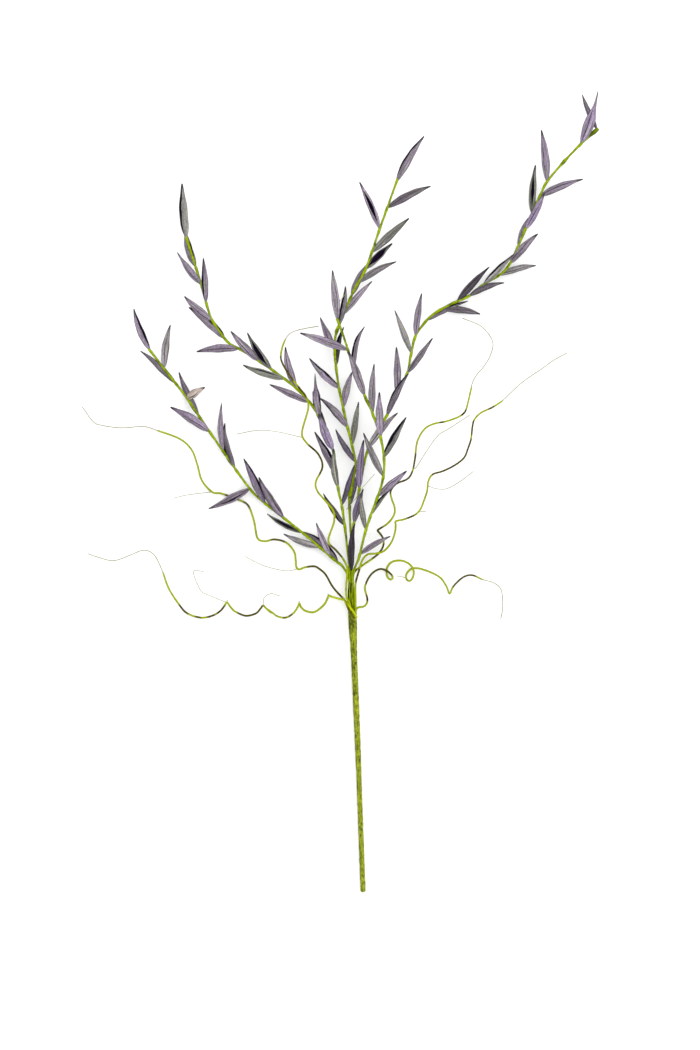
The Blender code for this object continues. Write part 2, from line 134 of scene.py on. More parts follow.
# Each twig: its place in the bundle in degrees, its centre line (X, Y, Z in millimetres), and its leaves.
# A leaf is: millimetres along the twig, lean off it in degrees, length in millimetres, turn of its back
# in degrees, sideways bow in millimetres, and lift in degrees, where None leaves it to a seeded draw.
TWIGS = {
    "left_outer_branch": (
        198,
        (
            (-11, 51, 13.5), (-21, 59, 13), (-56, 89, 12), (-97, 121, 12), (-116, 139, 12), (-146, 181, 13),
            (-172, 219, 15), (-189, 244, 16), (-213, 275, 18), (-230, 297, 20),
        ),
        (
            (348, 16, 50, 30, 1, 8), (299, -8, 55, -60, 0.5, 10), (319, 46, 50, 160, 1, None),
            (253, 8, 56, 60, 0, -18), (277, 94, 23, 0, 1, 45), (231, -24, 52, 10, -2, None),
            (205, 33, 55, 0, 2, None), (179, 21, 53, 130, 2, None), (152, -78, 52, 140, -1, 3),
            (128, 26, 56, -30, 1, 6), (102, 21, 54, 10, 2, None), (73, -12, 46, 150, 1, -8),
            (50, -21, 44, 170, 1, None), (22, 8, 54, -60, -1.5, 14), (32, 26, 42, 0, 1, 4),
        ),
    ),
    "left_inner_branch": (
        126,
        (
            (-4, 58, 19), (-6, 75, 22), (-8, 94, 25), (-12, 121, 29), (-16, 140, 32), (-21, 180, 36),
            (-30, 208, 38), (-37, 220, 39), (-51, 240, 39), (-74, 261, 38), (-107, 284, 36),
            (-128, 297, 33), (-140, 304, 31), (-150, 317, 29), (-159, 331, 27), (-166, 352, 25),
            (-171, 371, 23), (-178, 393, 21), (-188, 424, 20),
        ),
        (
            (452, 14, 62, -30, 2, 6), (416, 2, 45, 180, 2, -14), (395, -21, 46, 0, 1, None),
            (374, 14, 50, -30, 1, 6), (352, -22, 42, 10, 1, None), (328, -12, 54, 150, -3, 10),
            (308, -35, 48, 0, -2, None), (281, 13, 46, 0, 1, 6), (264, 22, 50, 180, 2, None),
            (246, -20, 50, 150, 0, None), (229, 33, 49, 10, 2, -3), (207, -28, 50, 0, 0, None),
            (187, 27, 49, 20, 0, None), (171, 0, 46, 100, 0, 10), (146, -9, 44, 0, 1, -12),
            (104, 2, 43, 0, 2, 12), (118, -22, 55, 40, -2, None), (60, -27, 44, 150, 0, None),
            (82, 26, 48, 20, -1, 12),
        ),
    ),
    "centre_branch": (
        270,
        (
            (0, 58, 12.5), (-1, 77, 13), (-3, 118, 14), (-2, 136, 15), (4, 163, 16), (3, 174, 17),
            (-7, 216, 19), (-14, 248, 20), (-19, 283, 22), (-19, 310, 23), (-13, 328, 24), (2, 363, 26),
            (16, 389, 28), (31, 432, 30), (51.4, 489, 32),
        ),
        (
            (469, 11, 60, 20, 1, 4), (434, 43, 55, 30, 1, None), (409, -42.5, 58, 180, -1, None),
            (382, 28.5, 57, 20, 0, None), (361, 21, 42, 160, 0, -12), (343, 29.5, 50, 30, 1, None),
            (325, 4, 46, 150, 1.5, -14), (303, 18, 50, 10, 1, None), (290, -12, 44, -60, 0, 14),
            (243, 16, 46, 120, 1, -10), (262, -24, 40, 20, 0, None), (217, -36, 48, 40, 0, None),
            (195, 27, 42, 0, 1, -8), (174, -29, 46, -40, -1, None), (152, 22, 50, 170, 0, -2),
            (132, -18, 44, 30, 0, None), (82, 15, 42, 150, -1, -6), (8, -3, 53, 60, 0.4, -10),
        ),
    ),
    "right_inner_branch": (
        342,
        (
            (3, 49, 16.5), (8, 62, 22), (14, 87, 31), (21, 109, 38), (33, 143, 48), (36, 167, 53),
            (32, 196, 58), (21, 228, 60), (14, 243, 60), (-2, 286, 57), (-8, 305, 55), (-17, 330, 52),
        ),
        (
            (307, 14, 57, 0, 0, None), (270, -54, 57, 0, -0.5, None), (247, 32, 49, 100, 2, None),
            (215, 2, 53, -20, 1, 10), (193, 23, 56, -10, 2, None), (165, 12, 51, 10, 0, 8),
            (142, 33, 52, 160, 0, None), (121, -34, 54, 0, 1, None), (97, 29, 43, 0, 0, None),
            (74, 18, 36, 160, 1, -8), (57, -25, 42, 160, 1, None), (29, 44.5, 40, 10, 1, None),
        ),
    ),
    "right_outer_branch": (
        54,
        (
            (0, 58, 20.5), (0, 75, 21.5), (2, 100, 23), (8, 138, 25), (17, 181, 28), (27, 203, 29),
            (40, 223, 30), (52, 248, 30), (62, 269, 29), (66, 288, 27), (71, 310, 25), (80, 324, 23),
            (90, 335, 21), (108, 346, 18), (132, 357, 15), (147, 369, 14), (168, 382, 14), (178, 393, 14),
            (185, 407, 15), (195, 430, 16), (214, 474, 19), (221, 487, 20), (237, 506, 22), (256, 526, 24),
            (278, 546, 26),
        ),
        (
            (609, -72, 43, 40, -1, None), (584, -29, 62, 0, -2, None), (527, -42, 59, 0, -1, None),
            (509, 44, 53, 20, 1, None), (485, -19, 56, 180, 1, None), (468, 4, 46, 10, -1, 14),
            (446, -4, 36, 10, 1, -12), (425, 10, 46, 10, 1, 6), (386, -12, 49, 150, -1, 8),
            (406, 18, 45, 20, 1, -20), (366, 9, 43, 30, 1, None), (350, -25, 54, 30, 0, None),
            (330, 36, 46, 0, 2, -25), (309, 24, 52, 140, 1, -12), (287, -15, 49, 0, 1, None),
            (268, -32, 52, 0, 0, None), (244, 16, 49, 20, -1, None), (217, -26, 54, 10, -1, None),
            (192, -4, 53, 30, 1, 10), (148, 21, 52, 10, 2, None), (102, -5, 56, -10, 2, 8),
            (62, 8, 40, 0, 1, 8),
        ),
    ),
}

# How each of those leaves shows itself: the turn of its rolled back in degrees (0 has the back up, and
# 180 the slit up), half the angle that its roll leaves open, its tint (from -10, purple, to 10, greenish
# grey, and 20, beige), its lightness in hundredths, and its width in hundredths of its length. The lowest
# lightnesses, on leaves that lie under twigs and other leaves, are partly painted shade.
BACK = 105
LEAF_LOOKS = {
    "left_outer_branch": (
        (120, 44, 0, 98, 16), (-50, BACK, 2, 84, 13), (20, BACK, 4, 104, 17), (30, BACK, 0, 84, 13),
        (0, BACK, 20, 106, 38), (10, BACK, -3, 96, 19), (0, BACK, -1, 102, 12.5), (-118, 44, 2, 72, 16),
        (-158, 13, 1, 88, 18), (116, 36, -4, 84, 16), (-40, BACK, 0, 90, 17), (170, 38, 8, 74, 13),
        (10, BACK, 5, 104, 16), (116, 46, -2, 84, 16), (0, BACK, 1, 112, 16),
    ),
    "left_inner_branch": (
        (-116, 42, 7, 106, 16), (142, 30, 3, 92, 20), (0, BACK, 0, 98, 17), (-116, 46, 1, 92, 15),
        (10, BACK, 0, 100, 20), (118, 50, 1, 84, 18), (0, BACK, 0, 90, 19), (0, BACK, 0, 98, 19),
        (-172, 42, 8, 84, 17), (150, 14, 9, 92, 16), (10, BACK, -1, 98, 17), (0, BACK, 0, 94, 15),
        (108, 40, 0, 92, 17), (-115, 55, -2, 52, 15), (0, BACK, -6, 100, 22), (0, BACK, 10, 90, 17),
        (112, 52, 0, 84, 16), (-120, 52, 2, 74, 14), (30, BACK, -5, 70, 13),
    ),
    "centre_branch": (
        (-112, 38, 2, 90, 15), (20, BACK, 3, 78, 16), (178, 34, -1, 108, 14), (20, BACK, 7, 84, 16),
        (180, 60, 6, 80, 20), (30, BACK, 5, 84, 15), (0, BACK, 1, 92, 17), (10, BACK, 1, 110, 14),
        (-115, 54, 4, 86, 16), (-130, 52, 6, 48, 14), (20, BACK, 0, 96, 19), (110, 54, -1, 98, 17),
        (0, BACK, -1, 102, 19), (-100, 40, 0, 88, 18), (0, BACK, 9, 90, 14), (30, BACK, -3, 78, 15),
        (50, BACK, -4, 86, 15), (20, BACK, -1, 42, 14),
    ),
    "right_inner_branch": (
        (0, BACK, 3, 110, 15), (0, BACK, -1, 106, 16), (-115, 54, 2, 92, 13), (-20, BACK, 3, 98, 17),
        (-10, BACK, 3, 98, 14), (10, BACK, -2, 106, 17), (-125, 50, 7, 82, 16), (0, BACK, 5, 96, 14),
        (0, BACK, -2, 98, 19), (-120, 54, 9, 82, 14), (0, BACK, 8, 94, 15), (10, BACK, -1, 98, 16),
    ),
    "right_outer_branch": (
        (40, BACK, 0, 80, 14), (0, BACK, -4, 106, 19), (0, BACK, -2, 100, 15), (20, BACK, 0, 94, 16),
        (180, 28, 10, 84, 15), (10, BACK, -5, 106, 17), (0, BACK, 0, 96, 15), (10, BACK, 2, 94, 19),
        (-135, 26, 6, 104, 15), (20, BACK, 6, 98, 16), (30, BACK, 3, 72, 17), (30, BACK, 0, 52, 15),
        (0, BACK, 3, 76, 17), (-140, 42, 2, 80, 13), (0, BACK, 0, 96, 15), (0, BACK, 6, 110, 13),
        (20, BACK, 3, 90, 14), (10, BACK, 0, 96, 15), (-105, 48, 2, 78, 15), (0, BACK, 4, 112, 15),
        (0, BACK, -5, 96, 15), (0, BACK, -6, 84, 20),
    ),
}

# Leaves, by their twig and their number on it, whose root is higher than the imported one, in millimetres,
# whose tip is slimmer, as a share, or whose lift in degrees is their own
LEAF_QUIRKS = {
    ("right_outer_branch", 2): (0, 0.55, None),
    ("centre_branch", 18): (9, 0, 12),
    ("left_inner_branch", 15): (2, 0, 10),
    ("left_inner_branch", 6): (-1.5, 0, -6),
    ("left_outer_branch", 2): (-3.5, 0, 4),
    ("left_outer_branch", 14): (-4.5, 0, -1),
    ("left_inner_branch", 3): (0, 0.3, None),
    ("left_inner_branch", 13): (0, 0.45, None),
    ("left_inner_branch", 14): (-2.5, 0, 2),
}

# How deep in shade the strand of each twig is in the bundle
BUNDLE_SHADE = {
    "left_outer_branch": 2.2,
    "left_inner_branch": 0.15,
    "centre_branch": 1.0,
    "right_inner_branch": 0.45,
    "right_outer_branch": 0.25,
}

# Painted shade in the dark gaps along the strands of the bundle, as seen from above: how far across a strand
# each reaches, from -1, its left edge, to 1, and where it runs in millimetres from the wrapped top
SHADED_GAPS = {
    "left_inner_branch": ((-1.2, -0.05, 13, 34), (0.35, 1.2, 20, 33), (0.0, 0.7, 3, 15)),
    "right_outer_branch": ((-1.2, -0.2, 19, 33), (-1.2, -0.4, 2, 11), (0.1, 0.7, 11, 20)),
}

# Knobs of tape on the twigs: millimetres along, half length, swelling as a share of the radius, darkness
TWIG_KNOBS = {
    "left_outer_branch": (),
    "left_inner_branch": (),
    "centre_branch": ((100, 10, 1.0, 0.12), (80, 6, 0.0, 0.35), (283, 2.5, 0.5, 0.1)),
    "right_inner_branch": ((205, 6, 0.35, 0.2),),
    "right_outer_branch": ((556, 5, 0.7, 0.6), (603, 6, 0.6, 0.6)),
}

# Olive smudges on the stem wrap: Y in millimetres, turn round it from its top, half length, strength
STEM_SMUDGES = (
    (-10, -0.2, 3.5, 0.9), (-42, -0.1, 2.8, 1.6), (-58, 0.5, 1.6, 1.4), (-63, -0.2, 2.6, 1.0),
    (-72, -0.3, 2.2, 0.9), (-84, -0.3, 2.2, 1.3), (-94, -0.5, 1.5, 0.9), (-97.7, 1.2, 2.0, 1.2),
    (-141.6, -0.8, 1.7, 1.3), (-152.6, 0.3, 1.5, 0.7),
)

# Each tendril: its place round the bundle in degrees, its centre line in millimetres, the stretches along
# it that are dark brown, and how far along it turns into a pale thread
TENDRILS = {
    "lower_left_tendril": (
        184,
        (
            (-5.4, 7, 13), (-8.5, 12, 11), (-16.5, 14.6, 8), (-23.5, 16.6, 6), (-26.6, 17.8, 5.4),
            (-28, 14.6, 5), (-31, 8.6, 4.5), (-36, 3.6, 4), (-42, -0.5, 3.5), (-47.5, -1, 3.5),
            (-54, 1, 3.5), (-58, 5, 4), (-60, 9, 5), (-62, 4.5, 6), (-66.5, -2, 5), (-75, -7, 4),
            (-84, -6, 4), (-90, -2, 4.5), (-97, 3, 5), (-101, 6.5, 6), (-104, 3, 7), (-109.5, -2.5, 6),
            (-121, -5, 4), (-133, 0, 4), (-138, 5, 4.5), (-142, 10, 5.5), (-145, 6, 6.5), (-150, 0, 6),
            (-160, -5.5, 4.5), (-173, -7, 3.5), (-187.5, -2, 3.5), (-196.5, 8, 4), (-208, 26, 5),
            (-215.5, 46.5, 6), (-223, 62, 7), (-230, 68, 8), (-238.5, 69, 8), (-251, 64, 8),
            (-270, 57.5, 7), (-287, 61, 6), (-300, 65.5, 6),
        ),
        ((94, 98), (102, 105), (133, 166), (188, 200), (203, 212), (220, 226), (235, 249)),
        291,
    ),
    "upper_left_tendril": (
        150,
        (
            (-5, 8, 17), (-8, 14, 16.5), (-13.5, 18, 15), (-22.5, 28.5, 11), (-30, 41.5, 7), (-37, 48, 5.5),
            (-43, 51, 5), (-53, 50, 4.5), (-60.5, 47.5, 4.5), (-63.5, 51, 4.5), (-64, 58, 4.5),
            (-66, 68, 4.5), (-75, 78, 4), (-88, 81.5, 3.5), (-99.5, 79.5, 3.5), (-107.5, 83.5, 3.5),
            (-111.5, 103, 3), (-118, 120, 2.5), (-129, 126.5, 2), (-148, 133.5, 2), (-159, 135.5, 2.5),
            (-170.5, 148.5, 4), (-175.5, 166, 5), (-182, 183, 6), (-195.5, 195.5, 6), (-221, 205, 6),
            (-237, 209.5, 6), (-262, 208, 7), (-284.5, 211, 8), (-294, 215.5, 9), (-306, 232, 11),
        ),
        ((18, 74), (122, 138), (190, 200), (206, 222)),
        338,
    ),
    "middle_left_tendril": (
        108,
        (
            (-2.6, 8, 20), (-6, 15, 20.5), (-7, 25, 20), (-6, 38, 20.5), (-5.5, 49, 22), (-10, 59, 23),
            (-18, 69, 23.5), (-25.5, 76, 24), (-27, 81, 24.5), (-25.5, 87, 26), (-20.5, 102, 31),
            (-21.5, 114, 36), (-31.5, 126.5, 39), (-39.5, 136.5, 40), (-41, 146.5, 41), (-33.5, 163.5, 43),
            (-38.5, 178, 45), (-52, 191, 46), (-56.5, 202.5, 46), (-49.5, 229.5, 46), (-52, 242, 47),
            (-59, 251.5, 48), (-70, 265.5, 50), (-79, 281, 52), (-80, 291, 53), (-75.5, 306, 54),
            (-68, 314.5, 54), (-53, 319, 52), (-38, 321.5, 50),
        ),
        ((64, 82), (172, 211), (269, 284), (293, 324)),
        344,
    ),
    "lower_right_tendril": (
        -14,
        (
            (4.9, 3.2, 13.2), (8, 4.8, 12.5), (13, 5.5, 11.5), (16.5, 9, 11), (17, 15, 10), (14.5, 27, 9),
            (19, 38.5, 7.5), (25, 45, 6.5), (32, 48, 6), (39, 46, 5.5), (44.5, 41.5, 5), (46, 38, 4.6),
            (43.5, 36, 4), (40, 39, 3.4), (39, 46, 2.8), (41, 52, 3), (46, 56.5, 3.5), (56, 57.5, 4.5),
            (65, 53.5, 5.5), (69.5, 46.5, 6), (69, 39, 6), (65.5, 34.5, 5.4), (61.5, 36.5, 4.6),
            (61.5, 42, 3.6), (66, 47.5, 3), (73.5, 49, 3), (86, 45.5, 4), (99.5, 38.5, 5), (106.5, 29, 5.5),
            (110.5, 20, 6), (114.5, 28, 7), (125.5, 38.5, 7), (136, 41, 7), (148, 36, 7), (160, 32.5, 7),
            (168, 26, 7), (170.5, 15, 6), (170.5, 2.5, 5), (168.5, -8.5, 4),
        ),
        ((19, 26), (39, 79), (237, 268)),
        277,
    ),
    "middle_right_tendril": (
        38,
        (
            (3.8, 12, 17.6), (3.8, 31, 18), (7.5, 45.5, 17.5), (11.5, 58, 17), (17.5, 64.5, 16.5),
            (26, 65.5, 16), (36, 68.5, 16), (44.2, 78, 17), (48.4, 89.5, 19), (49.2, 97.5, 20),
            (49, 101.7, 20.5), (51.8, 102.8, 20.8), (57.5, 104, 21.3), (63.5, 106, 22), (72, 110, 23),
            (77, 115.5, 23.5), (80, 122.4, 24), (84.5, 135.5, 24), (86, 147, 24), (91, 155, 24),
            (103, 159, 23), (116, 165.5, 22), (126.5, 174, 21), (131, 184.5, 20), (134.5, 195.5, 19),
            (136, 209, 18), (138.5, 217.5, 17), (146, 225, 16), (159.5, 231.5, 15), (170.5, 239, 14),
            (182, 250, 14), (194.5, 261, 13), (215, 275, 12), (227.5, 284, 12), (243.5, 293, 12),
        ),
        ((33, 48), (138, 146), (198, 262), (267, 283), (305, 312)),
        324,
    ),
    "upper_right_tendril": (
        -50,
        (
            (2.2, 12, 10.8), (0.8, 34, 10.3), (2.6, 44.5, 10), (11.5, 52, 9.5), (24.5, 61, 10),
            (31, 66.7, 10.7), (34.7, 73, 11.5), (35.7, 78.5, 12), (34.6, 83.6, 12.8), (31.4, 88.3, 13.6),
            (28.8, 91.7, 14.4), (31.3, 93.8, 14.8), (38.5, 98.3, 16), (44, 103.7, 17), (47.5, 110, 17.6),
            (48.3, 115, 18.1), (47.2, 120.8, 18.6), (45, 126.5, 19), (43.5, 136, 20), (50, 144.5, 21),
            (62.5, 150, 22), (68, 158.5, 23), (71, 173, 25), (73.5, 192, 28), (81.5, 206, 30),
            (92, 212, 31), (106.5, 215, 31), (120, 220, 30), (127.5, 226, 29), (131, 237, 28),
            (134, 250, 27), (136, 259, 27), (141, 268, 26), (149.5, 278, 26), (156.5, 290.5, 26),
            (158.5, 305.5, 27), (146, 322, 28), (124.5, 331.5, 28),
        ),
        ((44, 48), (70, 92), (98, 116), (160, 197), (202, 218), (267, 271), (293, 301)),
        328,
    ),
}

# How a tendril's root lies over the front of the crown, in place of the tendril's first points
TENDRIL_ROOTS = {
    "lower_left_tendril": (
        2,
        (
            (5.0, -6.4, 13.6), (4.4, -5.0, 17.4), (2.3, -1.6, 19.9), (-1.0, 2.8, 20.7), (-4.2, 7.6, 19.0),
            (-8.6, 12.4, 12.8),
        ),
    ),
    "upper_left_tendril": (
        2,
        (
            (4.0, -10.4, 12.8), (3.4, -9.2, 16.2), (0.6, -5.4, 19.3), (-3.2, 0.4, 20.0), (-6.0, 7.0, 18.6),
            (-9.0, 13.6, 16.8),
        ),
    ),
}

# The tone of those roots, from -1, bright, to 1, dark, and how far along it reaches in millimetres
ROOT_TONES = {"lower_left_tendril": (-0.9, 30), "upper_left_tendril": (0.8, 9)}

# Short spurs at the cusps of one tendril, and the fine pale hairs of them all: X and Y in millimetres
SPURS = {
    "lower_left_tendril": (
        ((-60, 9), (-60.4, 12.6)), ((-26.4, 17.4), (-27.8, 20.2)), ((-142, 10), (-141.6, 13.4)),
        ((-101, 6.5), (-95, 0.2), (-91.6, -2.6)),
    ),
}
HAIRS = {
    "lower_left_tendril": (
        ((-142, 9), (-162, 18), (-172, 24), (-180, 45), (-168, 45)),
        ((-100, 6), (-100, 15), (-92, 20), (-81, 17)),
    ),
    "upper_left_tendril": (
        ((-62, 48), (-76, 46), (-101, 52), (-123, 63)),
        ((-159, 136), (-187, 132), (-204, 128)),
    ),
    "middle_left_tendril": (((-55, 197), (-62, 198), (-88, 204), (-109, 205), (-131, 201)),),
    "lower_right_tendril": (((61.5, 38), (55, 39.4), (50, 40)),),
    "middle_right_tendril": (
        ((85, 142), (95, 139), (107, 139), (122, 147), (138, 159)),
        ((73.5, 111.5), (78, 113), (84, 113.4)),
    ),
    "upper_right_tendril": (((69, 161), (73, 164), (84, 181), (97, 199), (111, 208), (134, 223)),),
}
# Two hairs that lie over the leaves: X, Y and Z in millimetres
LOOSE_HAIRS = (
    ((25.1, 155, 62), (12.7, 141, 52), (4, 128, 42), (-6.6, 115.3, 33)),
    ((-6.6, 359.6, 40), (-11, 354, 38), (-15.6, 348.3, 34)),
)


def srgb(red, green, blue):
    """A screen colour, from 0 to 255 each, as the linear colour that a shader takes."""
    def linear(value):
        value /= 255
        return value / 12.92 if value <= 0.04045 else ((value + 0.055) / 1.055) ** 2.4
    return linear(red), linear(green), linear(blue)


# The dark green of the painted shade in the gaps between strands, and down in the stem's pocket
GAP_SHADE_COLOUR = srgb(26, 30, 12)


def length_setting(name, description, default):
    return FloatProperty(
        name=name, description=description, default=default, min=0, unit="LENGTH", precision=5)


def share_setting(name, description, default, most=2):
    return FloatProperty(
        name=name, description=description, default=default, min=0, max=most, subtype="FACTOR")


def colour_setting(name, description, default):
    return FloatVectorProperty(
        name=name, description=description, default=default, subtype="COLOR", min=0, max=1)


class SprayLeafSettings(bpy.types.PropertyGroup):
    """Sizes and colours of the rolled leaves."""

    fullness: share_setting("Fullness", "Width of the leaves beside the ones in the picture", 1.0)
    squash: share_setting("Flatness", "Thickness of a leaf's roll as a share of its width", 0.58)
    sheet: length_setting("Sheet", "Thickness of the leaf's own sheet", 0.5 * MM)
    vein_relief: length_setting("Vein relief", "How far the lengthwise veins stand out", 0.10 * MM)
    lavender: colour_setting("Lavender", "The outside of most leaves", srgb(140, 128, 144))
    grey: colour_setting("Grey", "The outside of the greyest leaves", srgb(134, 135, 125))
    purple: colour_setting("Purple", "The outside of the most purple leaves", srgb(138, 119, 156))
    hollow: colour_setting("Hollow", "The inside of every leaf", srgb(20, 8, 32))
    # The edge colour darkens the rims, partly as their own colour and partly as painted shade, paints shade
    # in the creases, and darkens the tips
    edge: colour_setting("Edge", "The dark edges and creases of the leaves", srgb(40, 33, 38))
    beige: colour_setting("Beige", "The outside of the palest leaf", srgb(176, 160, 152))
    stripe: colour_setting("Stripe", "The pale stripe of the greenest leaves", srgb(170, 168, 154))


class SprayTwigSettings(bpy.types.PropertyGroup):
    """Sizes and colours of the five twigs."""

    thickness: share_setting("Thickness", "Thickness of the twigs beside the full ones", 0.98)
    collar: share_setting("Collars", "Swelling where a leaf is taped on, as a share of the radius", 0.30)
    lime: colour_setting("Lime", "The paper that the twigs are wrapped in", srgb(138, 159, 0))
    # This colour also paints the shade on the twigs' undersides and flanks
    shade: colour_setting("Shade", "The darker stretches of that paper", srgb(58, 74, 4))


class SprayWrapSettings(bpy.types.PropertyGroup):
    """Sizes and colours of the wrapped stem."""

    tape_pitch: length_setting("Tape pitch", "How far the tape climbs in one turn", 10.5 * MM)
    tape_edge: length_setting("Tape edge", "How far the tape's edge stands out", 0.22 * MM)
    lumps: length_setting("Lumps", "Unevenness of the wrapped stem", 0.28 * MM)
    lime: colour_setting("Lime", "The paper of the wrap", srgb(142, 154, 36))
    # This colour also paints the shade on the stem's left side, and the darker part near the twigs
    shade: colour_setting("Shade", "The smudges on the wrap", srgb(72, 76, 18))


class SprayTendrilSettings(bpy.types.PropertyGroup):
    """Sizes and colours of the tendrils and their hairs."""

    thickness: share_setting("Thickness", "Thickness of the tendrils beside the packed roots", 1.42)
    hair: length_setting("Hair", "Radius of the fine hairs", 0.36 * MM)
    lime: colour_setting("Lime", "The fresh stretches", srgb(142, 154, 0))
    brown: colour_setting("Brown", "The dark stretches", srgb(56, 40, 0))
    pale: colour_setting("Pale", "The thread-like ends and hairs", srgb(139, 138, 106))


class SprayStageSettings(bpy.types.PropertyGroup):
    """The table, the light and the camera."""

    floor_size: length_setting("Table", "Side of the pale table", 14.0)
    floor_colour: colour_setting("Table colour", "Colour of the table", (0.99, 0.99, 0.99))
    sky: FloatProperty(
        name="Sky", description="Strength of the even light from all round", default=1.14, min=0)
    softbox: FloatProperty(
        name="Softbox", description="Power of the large soft lamp", default=60, min=0, unit="POWER")
    lens: FloatProperty(
        name="Lens", description="Focal length of the camera", default=180, min=1, unit="CAMERA")


def settings(name):
    return getattr(bpy.context.scene, "spray_" + name)


class Shape:
    """The points and faces gathered for one piece, with the numbers that its material reads at each point."""

    def __init__(self, *readings):
        self.points = []
        self.faces = []
        self.readings = {reading: [] for reading in readings}
        self.count = 0

    def add_rings(self, rings, start_tip=None, end_tip=None, **values):
        """A closed skin over rings of points, an array of rings by points by 3, with a point at each end."""
        rings = np.asarray(rings, float)
        number, around = rings.shape[:2]
        base = self.count
        start_tip = rings[0].mean(axis=0) if start_tip is None else start_tip
        end_tip = rings[-1].mean(axis=0) if end_tip is None else end_tip
        self.points.append(rings.reshape(-1, 3))
        self.points.append(np.array([start_tip, end_tip]))
        for reading, value in values.items():
            value = np.broadcast_to(np.asarray(value, float), (number, around, 3))
            self.readings[reading].append(value.reshape(-1, 3))
            self.readings[reading].append(np.array([value[0].mean(axis=0), value[-1].mean(axis=0)]))
        index = base + np.arange(number * around).reshape(number, around)
        following = np.roll(index, -1, axis=1)
        quads = np.stack([index[:-1], following[:-1], following[1:], index[1:]], axis=-1).reshape(-1, 4)
        self.faces += quads.tolist()
        first, last = base + number * around, base + number * around + 1
        self.faces += [(first, b, a) for a, b in zip(index[0].tolist(), following[0].tolist())]
        self.faces += [(last, a, b) for a, b in zip(index[-1].tolist(), following[-1].tolist())]
        self.count += number * around + 2

    def finish(self, name, material, slot, *nodes):
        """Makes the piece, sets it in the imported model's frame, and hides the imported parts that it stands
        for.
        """
        mesh = bpy.data.meshes.new(name)
        mesh.from_pydata((np.concatenate(self.points) + TO_FRAME).tolist(), [], self.faces)
        for reading, values in self.readings.items():
            layer = mesh.attributes.new(reading, "FLOAT_VECTOR", "POINT")
            layer.data.foreach_set("vector", np.concatenate(values).astype(np.float32).ravel())
        mesh.validate()
        mesh.shade_smooth()
        mesh.materials.append(material)
        piece = bpy.data.objects.new(name, mesh)
        bpy.context.scene.collection.objects.link(piece)
        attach(piece, "root")
        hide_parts(*nodes)
        return piece


def ease(share):
    """From 0 to 1 along a soft S."""
    share = np.clip(share, 0, 1)
    return share * share * (3 - 2 * share)


def bell(off):
    """1 where off is 0, falling softly to either side."""
    return np.exp(-off ** 2)


def spot(off_along, off_around):
    """1 in the middle of a spot on a tube, from how far off it each ring, and each place round a ring, is."""
    return np.exp(-off_along[:, None] ** 2 - off_around[None, :] ** 2)


def angles_from(angles, turn):
    """How far each angle is from the turn, the short way round."""
    return np.abs((angles - turn + math.pi) % math.tau - math.pi)


def unit(vector):
    return vector / np.linalg.norm(vector)


def smooth_points(points):
    """Many points of a smooth curve through the given ones."""
    points = [Vector(point) for point in points]
    ends = [2 * points[0] - points[1], *points, 2 * points[-1] - points[-2]]
    curve = []
    for before, start, stop, after in zip(ends, ends[1:], ends[2:], ends[3:]):
        for step in range(POINTS_PER_SPAN):
            t = step / POINTS_PER_SPAN
            curve.append(0.5 * (
                2 * start
                + (stop - before) * t
                + (2 * before - 5 * start + 4 * stop - after) * t ** 2
                + (3 * start - before - 3 * stop + after) * t ** 3
            ))
    curve.append(points[-1].copy())
    return np.array(curve)


def runs_in_plan(curve):
    """How far along the curve each of its points is, as seen from straight above."""
    steps = np.linalg.norm(np.diff(curve[:, :2], axis=0), axis=1)
    return np.concatenate([[0], np.cumsum(steps)])


def evenly(curve, step):
    """The curve's places every so far along it, with their run in plan."""
    steps = np.linalg.norm(np.diff(curve, axis=0), axis=1)
    walked = np.concatenate([[0], np.cumsum(steps)])
    places = np.linspace(0, walked[-1], max(4, int(walked[-1] / step)))
    line = np.stack([np.interp(places, walked, curve[:, axis]) for axis in range(3)], axis=1)
    return line, np.interp(places, walked, runs_in_plan(curve))


def tube_rings(line, radii, sides, relief=None):
    """Rings of points round a line, with the same turn along it, and each point's angle round the line."""
    along = np.gradient(line, axis=0)
    along /= np.linalg.norm(along, axis=1)[:, None]
    angles = math.tau * np.arange(sides) / sides
    across = np.array((0.0, 0.0, 1.0))
    rings = []
    for index, (centre, forward) in enumerate(zip(line, along)):
        across = across - across.dot(forward) * forward
        across /= np.linalg.norm(across)
        beside = np.cross(forward, across)
        spread = radii[index] + (relief(index, angles) if relief else 0)
        offset = np.cos(angles)[:, None] * across + np.sin(angles)[:, None] * beside
        rings.append(centre + offset * np.broadcast_to(spread, (sides,))[:, None])
    return np.array(rings), angles


def crown_place(angle, radius, y):
    """A point beside the crown's centre line, which leans a little to the left."""
    turn = math.radians(angle)
    bend = CROWN_BEND * math.sin(math.pi * min(max(y / BUNDLE_LENGTH, 0), 1))
    x = radius * math.cos(turn) - CROWN_LEAN * y - bend
    return Vector((x, y, CROWN_HEIGHT + radius * math.sin(turn)))


def in_metres(points):
    return [Vector(point) * MM for point in points]


def twig_line(angle, points):
    """A twig's centre line, from its seat in the stem's pocket, through the bundle, to its tip."""
    tail = (SEAT_GAP - POCKET_DEPTH, 0.0, BUNDLE_LENGTH / 2, BUNDLE_LENGTH)
    tail = [crown_place(angle, STRAND_RING_RADIUS, y) for y in tail]
    return smooth_points(tail + in_metres(points))


def stem_radius(y):
    """The wrapped stem's radius at each Y."""
    at, radius = np.array(STEM_GIRTH).T * MM
    return np.interp(y, at, radius)


def stem_height(y):
    """The height of the stem's centre line at each Y: it lies on the table, and rises to the crown."""
    share = np.maximum(0, (y - STEM_REST_Y) / -STEM_REST_Y)
    return stem_radius(y) + (CROWN_HEIGHT - stem_radius(0)) * ease(share)


